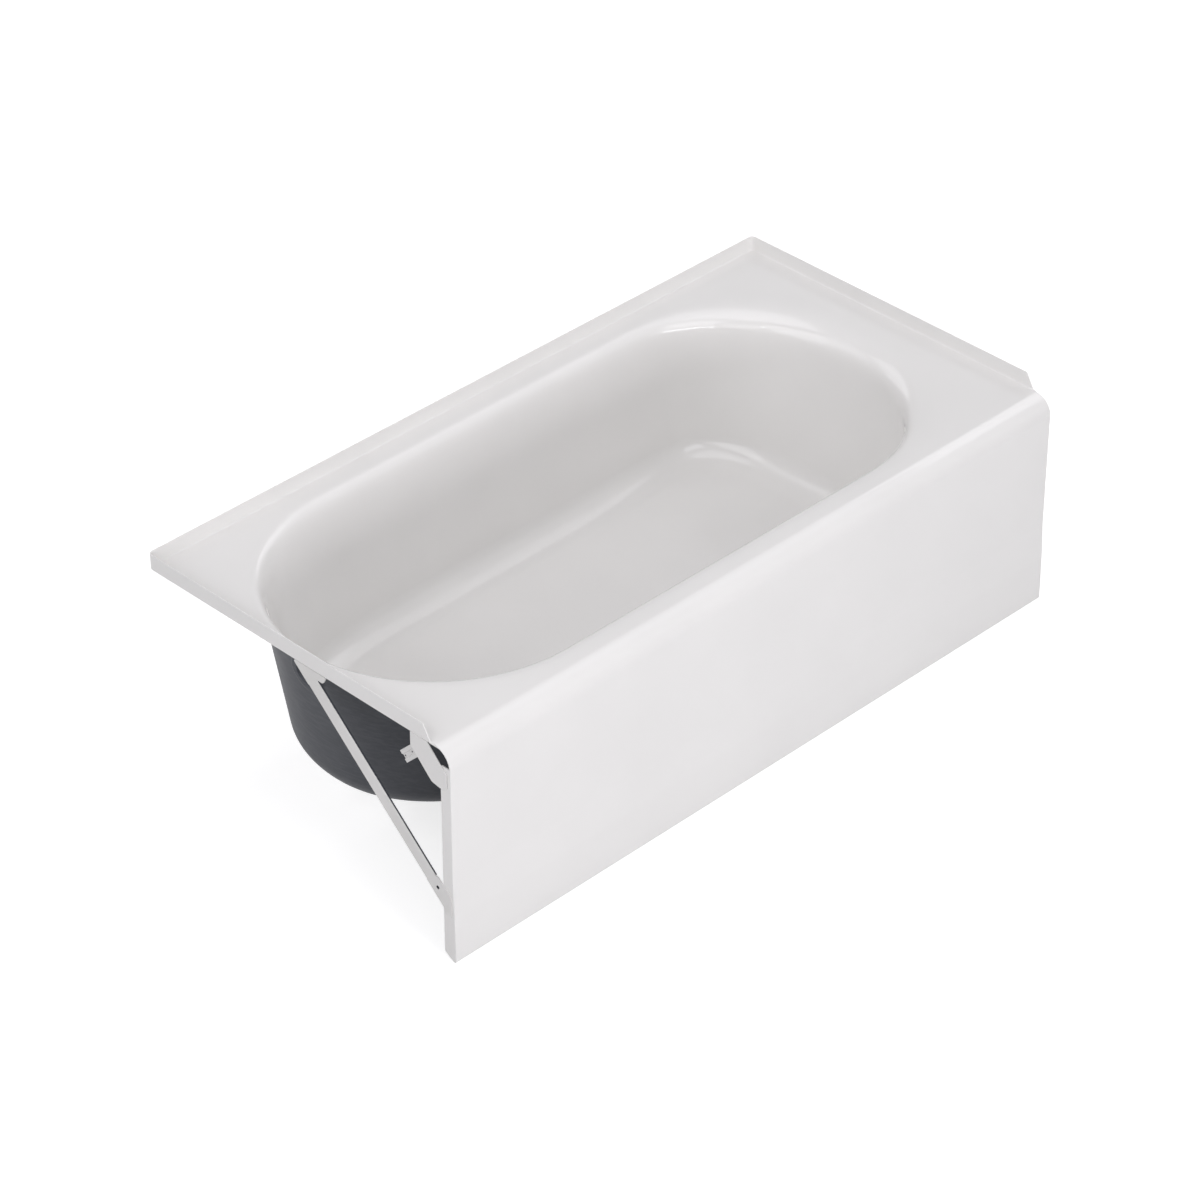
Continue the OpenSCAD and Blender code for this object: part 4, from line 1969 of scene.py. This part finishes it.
    def corner_rounded(self, mesh: bpy.types.Mesh) -> bpy.types.Mesh:
        """Rounds the upright corners between the face and the returns.

        Args:
            mesh: The joined mesh.

        Returns:
            The mesh with round corners.
        """
        face_y = (-self.sizes.bath_w / 2 + self.apron_set + self.corner_spare) * MM
        foot, top = self.foot_r * MM, (self.sizes.deck_h - self.return_drop) * MM
        near, short, sharp = 1e-5, 1e-6, 1.2
        with reshaped(mesh) as shape:
            merge_flats(shape, 0.05, weld=0.005)
            edges = [
                e
                for e in shape.edges
                if all(
                    abs(abs(v.co.x) - self.half_l * MM) < near
                    and v.co.y < face_y
                    and foot - near < v.co.z < top + near
                    for v in e.verts
                )
                and e.calc_length() > short
                and len(e.link_faces) == 2
                and e.calc_face_angle(0.0) > sharp
            ]
            bmesh.ops.bevel(
                shape,
                geom=edges,
                offset=self.corner_r * MM,
                offset_type="OFFSET",
                segments=self.corner_steps,
                profile=0.5,
                affect="EDGES",
            )
        return mesh

    def hidden(self, at: Vector, normal: Vector) -> bool:
        """Whether a face lies on the apron's inner side, above the foot flange.

        Args:
            at: The face's middle in millimetres.
            normal: Its normal.

        Returns:
            True for a face that takes the dark ground coat, painted shade on the apron's back.
        """
        probe = at + normal * self.ground_shade_probe
        edge, spring = self.apron_set + self.apron_r, self.sizes.deck_h - self.apron_r
        y = probe.y + self.sizes.bath_w / 2
        inside_ends = abs(probe.x) <= self.half_l - self.sheet_t
        if not (inside_ends and 2 * self.foot_r < probe.z < self.sizes.deck_h - self.sheet_t):
            return False
        if probe.z > spring and y < edge:
            return math.hypot(y - edge, probe.z - spring) < self.apron_r - self.sheet_t
        return y > self.sheet_t

    def dress(self, sections: TreeBuilder, finishes: Finishes) -> None:
        """Builds and hands over the apron."""
        enamel = finishes.enamel
        # the apron's back takes the dark ground coat, which is also painted shade behind the apron
        mesh = mark_ground_shade(self.mesh(Stock(sections, enamel)), self.hidden)
        settle_piece(mesh, "enamelled_apron", Slot.ENAMEL, enamel, "apron_panel")


@dataclass
class EndBracketSet:
    """Gusset, its clip and the brace at one end of the bath."""

    end: End
    sizes: BathSizes
    under_z: float = 443.0
    bracket_t: float = 2.0
    return_w: float = 27.0
    gusset_y: float = 57.0
    gusset_root: float = 40.0
    gusset_arm: float = 48.0
    gusset_tip: float = 11.0
    gusset_toe: float = 31.0
    gusset_toe_fall: float = 4.0
    gusset_radii: tuple[float, ...] = (4, 3, 0, 16, 5, 1.5, 1.5)
    clip_w: float = 24.0
    clip_reach: float = 40.0
    clip_lap: float = 14.0
    clip_trough: float = 2.0
    clip_t: float = 1.5
    clip_hole_d: float = 4.0
    clip_hole_x: float = 12.0
    clip_edge_r: float = 0.25
    clip_radii: tuple[float, ...] = (0.4, 2.2, 0.8, 0.8, 2.2, 0.4, 0.4, 0.8, 2.2, 2.2, 0.8, 0.4)
    brace_w: float = 29.0
    brace_flange: float = 4.5
    brace_foot_z: float = 112.0
    brace_head_y: float = 388.0
    brace_head_l: float = 85.0
    brace_head_drop: float = 17.0
    brace_foot_lap: float = 20.0
    brace_foot_w: float = 34.0
    brace_flat_l: float = 50.0
    brace_hole_d: float = 7.0
    brace_hole_x: float = 19.0
    brace_bore_l: float = 12.0
    brace_radii: tuple[float, ...] = (3, 0, 3, 3, 10, 18, 1.5, 3, 3)
    collar_t: float = 1.4
    collar_deep: float = 4.6
    channel_r: float = 1.6
    slot_short: float = 3.0
    edge_r: float = 0.35
    ground_share: float = 0.75
    facing: float = 0.3
    hole_faces: int = 28
    clip_hole_faces: int = 32

    def plane(self, inwards: float = 0.0) -> Matrix:
        """The end plane, its first axis across the bath, its third axis inwards.

        Args:
            inwards: Distance from the bath's end.

        Returns:
            The matrix, in millimetres.
        """
        sign = -self.end.value
        axes = Matrix(((0, 0, sign), (1, 0, 0), (0, 1, 0))).to_4x4()
        x = self.end.value * (self.sizes.bath_l / 2 - inwards)
        return Matrix.Translation((x, -self.sizes.bath_w / 2, 0)) @ axes

    @property
    def band(self) -> float:
        """Distance between the gusset arm's edges, measured along the deck."""
        return self.gusset_arm * math.sqrt(2)

    def gusset_outline(self) -> list[Point]:
        """The gusset's rounded outline.

        Returns:
            The outline's points.
        """
        root_end = self.gusset_y + self.gusset_root
        heel_y = self.return_w + self.gusset_root / 2
        tip_z = self.under_z + self.gusset_tip - self.gusset_y
        corners = [
            (self.gusset_y, self.under_z),
            (root_end, self.under_z),
            (root_end, self.under_z + self.gusset_root - self.band),
            (heel_y, self.under_z + heel_y - self.gusset_y - self.band),
            (self.return_w, tip_z - self.gusset_toe - self.gusset_toe_fall),
            (self.gusset_tip, tip_z - self.gusset_toe),
            (self.gusset_tip, tip_z),
        ]
        return rounded(corners[::-1], self.gusset_radii)

    def clip_section(self) -> list[Point]:
        """The clip's section: across it and away from the gusset.

        Returns:
            The section's points.
        """
        half, t = self.clip_w / 2, self.clip_t
        inner = self.clip_w / 4
        deep = self.clip_trough
        outer = [
            (-half, 0), (-inner + t, 0), (-inner + t, deep), (inner - t, deep), (inner - t, 0),
            (half, 0), (half, t), (inner, t), (inner, deep + t), (-inner, deep + t),
            (-inner, t), (-half, t),
        ]
        return rounded(outer, self.clip_radii, 4)

    def clip_plane(self) -> Matrix:
        """Where the clip lies: x along it, y across it and z inwards from the gusset.

        Returns:
            The clip's frame in the bath's.
        """
        corner = Vector(
            (self.gusset_y + self.gusset_root, self.under_z + self.gusset_root - self.band)
        )
        start = corner - Vector((self.clip_w / 2, self.clip_w / 2)) / math.sqrt(2)
        lie = Matrix.Translation((start.x, start.y, 0)) @ Matrix.Rotation(math.radians(-45), 4, "Z")
        return self.plane(self.bracket_t) @ lie @ Matrix.Translation((-self.clip_lap, 0, 0))

    def clip_mesh(self, stock: Stock) -> bpy.types.Mesh:
        """Builds the clip with its two holes.

        Args:
            stock: Sheets and blocks.

        Returns:
            The clip's mesh.
        """
        length = self.clip_lap + self.clip_reach
        lie = self.clip_plane()
        made = with_modifiers(
            stock.drawn(self.clip_section(), lie @ ALONG_X, length), ("TRIANGULATE", {})
        )
        behind, through = lie @ Matrix.Translation((0, 0, -1)), 2 * self.clip_trough + 2
        holes = [
            stock.drawn(circle((x, 0), self.clip_hole_d / 2, self.clip_hole_faces), behind, through)
            for x in (self.clip_lap + self.clip_hole_x, length - self.clip_hole_d)
        ]
        made = cut_with(made, holes)
        with reshaped(made) as shape:
            merge_flats(shape, 1)
        return softened(made, self.clip_edge_r, degrees=40)

    def brace_line(self) -> tuple[Vector, Vector, Vector, Vector, Vector]:
        """The brace's lower edge: foot, channel's start and end, head, and its direction.

        Returns:
            Four places and the unit vector.
        """
        foot = Vector((self.return_w, self.brace_foot_z))
        head = Vector((self.brace_head_y, self.under_z))
        run = (head - foot).normalized()
        return foot, foot + run * self.brace_flat_l, head - run * self.brace_flat_l, head, run

    def brace_mesh(self, stock: Stock) -> bpy.types.Mesh:
        """Builds the brace: flat ends, the channel between them and the small hole.

        Args:
            stock: Sheets and blocks.

        Returns:
            The brace's mesh.
        """
        _, low, high, _, run = self.brace_line()
        t, length = self.bracket_t, (high - low).length
        lie = self.plane() @ Matrix.Translation((*low, 0))
        lie = lie @ Matrix.Rotation(math.atan2(run.y, run.x), 4, "Z") @ ALONG_X
        room = [(-1, -1), (self.brace_w + 1, -1), (self.brace_w + 1, t + 1), (-1, t + 1)]
        slot = stock.drawn(
            room, lie @ Matrix.Translation((0, 0, self.slot_short)), length - 2 * self.slot_short
        )
        channel = stock.drawn(self.channel_section(), lie, length)
        made = cut_with(cut_with(self.brace_plate(stock), [slot]), [channel], "UNION")
        with reshaped(made) as shape:
            merge_flats(shape, 0.5, weld=WELD)
        return softened(made, self.edge_r, degrees=35)

    def brace_plate(self, stock: Stock) -> bpy.types.Mesh:
        """The brace's flat sheet, with the collar and the hole at its foot.

        Args:
            stock: Sheets and blocks.

        Returns:
            The plate's mesh.
        """
        foot, low, high, head, run = self.brace_line()
        rise = Vector((-run.y, run.x))
        wide = low + rise * self.brace_foot_w - run * (self.brace_foot_w - self.brace_w)
        outer = self.return_w - self.brace_foot_lap
        drop = self.brace_head_drop
        outline = [
            foot - run * (self.brace_foot_lap / run.x),
            high,
            head,
            head - Vector((self.brace_head_l, 0)),
            head - Vector((self.brace_head_l - drop / 2, drop)),
            high + rise * self.brace_w,
            low + rise * self.brace_w,
            wide,
            wide - run * ((wide.x - outer) / run.x),
        ]
        corners = rounded([tuple(p) for p in outline], self.brace_radii)
        at = tuple(low - run * self.brace_hole_x + rise * (self.brace_foot_w / 2))
        hole_r = self.brace_hole_d / 2
        plate = stock.drawn(corners, self.plane(), self.bracket_t)
        collar = stock.drawn(
            circle(at, hole_r + self.collar_t, self.hole_faces),
            self.plane(self.bracket_t / 2),
            self.collar_deep,
        )
        ring = circle(at, hole_r, self.hole_faces)
        bore = stock.drawn(ring, self.plane(-1.0), self.brace_bore_l)
        return cut_with(cut_with(plate, [collar], "UNION"), [bore])

    def channel_section(self) -> list[Point]:
        """The brace's section: across it and inwards.

        Returns:
            The section's points.
        """
        wide, t, deep, bend = self.brace_w, self.bracket_t, self.brace_flange, self.channel_r
        corners = [
            (0, 0), (wide, 0), (wide, deep), (wide - t, deep),
            (wide - t, t), (t, t), (t, deep), (0, deep),
        ]
        return rounded(corners, [bend + t, bend + t, 0, 0, bend, bend, 0, 0])

    def hidden(self, at: Vector, normal: Vector) -> bool:
        """Whether a face of the gusset or brace lies on its inner side.

        Args:
            at: The face's middle in millimetres.
            normal: Its normal.

        Returns:
            True for a face that takes the dark ground coat, painted shade on the inner side.
        """
        probe = at + normal * 0.5
        return self.sizes.bath_l / 2 - abs(probe.x) > self.ground_share * self.bracket_t

    def faces_inwards(self, _at: Vector, normal: Vector) -> bool:
        """Whether a face of the clip looks into the bath's underside, where it takes the dark
        ground coat as painted shade.
        """
        return -self.end.value * normal.x > self.facing

    def dress(self, sections: TreeBuilder, finishes: Finishes) -> None:
        """Builds and hands over the three pieces.

        Args:
            sections: Tree for sheets drawn along a path.
            finishes: Materials.
        """
        # these materials are darker copies of the enamel, which is painted shade
        steel = Stock(sections, finishes.bracket)
        pale = Stock(sections, finishes.clip)
        grey = Stock(sections, finishes.brace)
        plate = steel.drawn(self.gusset_outline(), self.plane(), self.bracket_t)
        for mesh, hidden, stock, name, node in (
            (softened(plate, self.edge_r), self.hidden, steel, "gusset_plate", "gusset"),
            (self.clip_mesh(pale), self.faces_inwards, pale, "gusset_clip_sheet", "gusset_clip"),
            (self.brace_mesh(grey), self.hidden, grey, "brace_channel", "brace"),
        ):
            word = self.end.word
            # inner faces take the dark ground coat, which is painted shade under the deck
            mark_ground_shade(mesh, hidden)
            settle_piece(mesh, f"{word}_{name}", Slot.STEEL, stock.material, f"{word}_{node}")


@dataclass
class SupportPad:
    """The foam block under the basin."""

    form: BasinForm
    pad_l: float = 730.0
    pad_w: float = 260.0
    pad_x: float = 10.0
    pad_r: float = 20.0
    backing_skin: float = 8.2
    middle_y: float = 18.0
    rough_h: float = 100.0
    edge_r: float = 3.0

    def mesh(self, stock: Stock) -> bpy.types.Mesh:
        """Builds the block, its top on the sloping underside of the backing.

        Args:
            stock: Sheets and blocks.

        Returns:
            The block's mesh.
        """
        left, right = self.pad_x - self.pad_l / 2, self.pad_x + self.pad_l / 2
        low, high = self.middle_y - self.pad_w / 2, self.middle_y + self.pad_w / 2
        corners = [(left, low), (right, low), (right, high), (left, high)]
        outline = rounded(corners, [self.pad_r] * 4, 10)
        made = stock.drawn(outline, Matrix.Identity(4), self.rough_h)
        for vertex in made.vertices:
            if vertex.co.z > self.rough_h / 2 * MM:
                vertex.co.z = (self.form.floor_z(vertex.co.x / MM) - self.backing_skin) * MM
        return softened(made, self.edge_r, steps=4)

    def dress(self, sections: TreeBuilder, finishes: Finishes) -> None:
        """Builds and hands over the pad."""
        mesh = self.mesh(Stock(sections, finishes.foam))
        settle_piece(mesh, "foam_pad_block", Slot.FOAM, finishes.foam, "foam_support_pad")


# Studio


def aimed(
    name: str, data: bpy.types.ID, at: Sequence[float], along: Sequence[float]
) -> bpy.types.Object:
    """A lamp or a camera at a place, looking along a direction.

    Args:
        name: Name of the object.
        data: The lamp or the camera.
        at: Its place in metres.
        along: Direction that it looks along.

    Returns:
        The object, in the scene.
    """
    made = placed(name, data)
    made.location = at
    made.rotation_mode = "QUATERNION"
    made.rotation_quaternion = Vector(along).to_track_quat("-Z", "Y")
    return made


@dataclass(frozen=True)
class Lamp:
    """One soft rectangular lamp, turned towards the bath."""

    name: str
    at: tuple[float, float, float]
    size: tuple[float, float]
    glow: float
    tint: tuple[float, float, float] = (0.98, 0.97, 1.0)
    towards: tuple[float, float, float] = (0.0, 0.0, 0.3)

    def hang(self) -> None:
        """Adds the lamp to the scene, unseen by the camera itself."""
        data = bpy.data.lights.new(self.name, "AREA")
        data.shape = "RECTANGLE"
        data.size, data.size_y = self.size
        data.energy = self.glow * math.pi * self.size[0] * self.size[1]
        data.color = self.tint
        lamp = aimed(self.name, data, self.at, Vector(self.towards) - Vector(self.at))
        lamp.visible_camera = False


@dataclass
class Studio:
    """Pale floor, white world, soft lamps and the camera."""

    camera_at: tuple[float, float, float] = (-4.70468, -4.67068, 4.87254)
    camera_looks: tuple[float, float, float] = (1.0, 1.0, -1.0)
    lens: float = 133.9
    sensor: float = 36.0
    sight: Point = (0.1, 200.0)
    floor_half: float = 40.0
    floor_tone: float = 0.58
    floor_lift: float = 0.72
    floor_roughness: float = 0.9
    floor_specular: float = 0.1
    fill: float = 0.03
    lamps: list[Lamp] = field(
        default_factory=lambda: [
            Lamp("overhead", (0.0, 0.0, 4.7), (3.4, 3.4), 1.65),
            Lamp("back_soft", (-0.1, 3.8, 2.52), (2.4, 2.6), 1.4),
            Lamp("back_left", (-2.68, 2.23, 2.98), (2.6, 2.6), 1.1),
            Lamp("left_soft", (-3.79, 0.0, 2.53), (3.4, 3.0), 1.8),
            Lamp("left_low", (-4.2, -0.2, 1.0), (2.6, 1.2), 0.4),
            Lamp("right_high", (2.7, 0.2, 3.5), (2.8, 2.8), 0.95),
            Lamp("right_mid", (3.79, 0.0, 2.53), (3.0, 2.6), 1.05),
            Lamp("front_soft", (0.0, -3.52, 2.94), (3.0, 2.6), 2.25),
            Lamp("front_left", (-2.96, -2.96, 1.65), (2.2, 2.0), 1.4),
            Lamp("front_low", (-0.3, -4.4, 0.85), (3.2, 0.9), 7.1),
            Lamp("front_left_low", (-2.4, -3.7, 0.9), (2.2, 0.9), 0.4),
            Lamp("spark", (-3.07, -1.59, 2.32), (0.3, 0.3), 14.0),
        ]
    )

    def white_share(self, tree: bpy.types.NodeTree) -> bpy.types.NodeSocket:
        """1 for rays that see the background: from the camera, or through a reflection.

        Args:
            tree: Node tree of the world or of the floor's material.

        Returns:
            The socket of the share.
        """
        path = tree.nodes.new("ShaderNodeLightPath")
        seen = Field(tree, path.outputs["Is Camera Ray"])
        for name in ("Is Glossy Ray", "Is Transmission Ray"):
            seen = seen.math("MAXIMUM", Field(tree, path.outputs[name]))
        return seen.socket

    def build_world(self) -> None:
        """A white world for the eye and a soft fill for the light."""
        world = bpy.data.worlds.new("studio_world")
        bpy.context.scene.world = world
        world.use_nodes = True
        tree = world.node_tree
        background = tree.nodes["Background"]
        background.inputs["Color"].default_value = (1, 1, 1, 1)
        seen = Field(tree, self.white_share(tree))
        strength = seen * (1 - self.fill) + self.fill
        tree.links.new(strength.socket, background.inputs["Strength"])

    def build_floor(self) -> None:
        """A pale floor that turns white for the eye and keeps the shadow."""
        sketch = MeshSketch()
        half = self.floor_half / MM
        corners = [(-half, -half, 0), (half, -half, 0), (half, half, 0), (-half, half, 0)]
        sketch.add(corners, [[0, 1, 2, 3]])
        floor = placed("studio_floor", sketch.mesh("studio_floor"))
        build = ShaderBuilder("pale_floor")
        build.settle(
            Base_Color=(*[self.floor_tone] * 3, 1),
            Roughness=self.floor_roughness,
            Specular_IOR_Level=self.floor_specular,
            Emission_Color=(1, 1, 1, 1),
        )
        lift = Field(build.tree, self.white_share(build.tree)) * self.floor_lift
        build.tree.links.new(lift.socket, build.shader.inputs["Emission Strength"])
        floor.data.materials.append(build.material)

    def build_camera(self) -> None:
        """The camera at the photograph's angle."""
        data = bpy.data.cameras.new("studio_camera")
        data.sensor_width = self.sensor
        data.lens = self.lens
        data.clip_start, data.clip_end = self.sight
        camera = aimed("studio_camera", data, self.camera_at, self.camera_looks)
        bpy.context.scene.camera = camera

    def build(self) -> None:
        """Builds the whole studio."""
        bpy.context.scene.view_settings.view_transform = "Standard"
        self.build_world()
        self.build_floor()
        for lamp in self.lamps:
            lamp.hang()
        self.build_camera()


def main() -> None:
    """Builds every piece of the bath and its studio."""
    logging.basicConfig(level=logging.INFO, format="%(name)s %(message)s")
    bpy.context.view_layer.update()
    finishes = Finishes.made()
    sections = prism_tree()
    form = BasinForm()
    shell = BathShell(form)
    shell.dress(finishes)
    CompositeBacking(shell).dress(finishes)
    ApronPanel(form.sizes).dress(sections, finishes)
    for end in End:
        EndBracketSet(end, form.sizes).dress(sections, finishes)
    SupportPad(form).dress(sections, finishes)
    Studio().build()


if __name__ == "__main__":
    main()
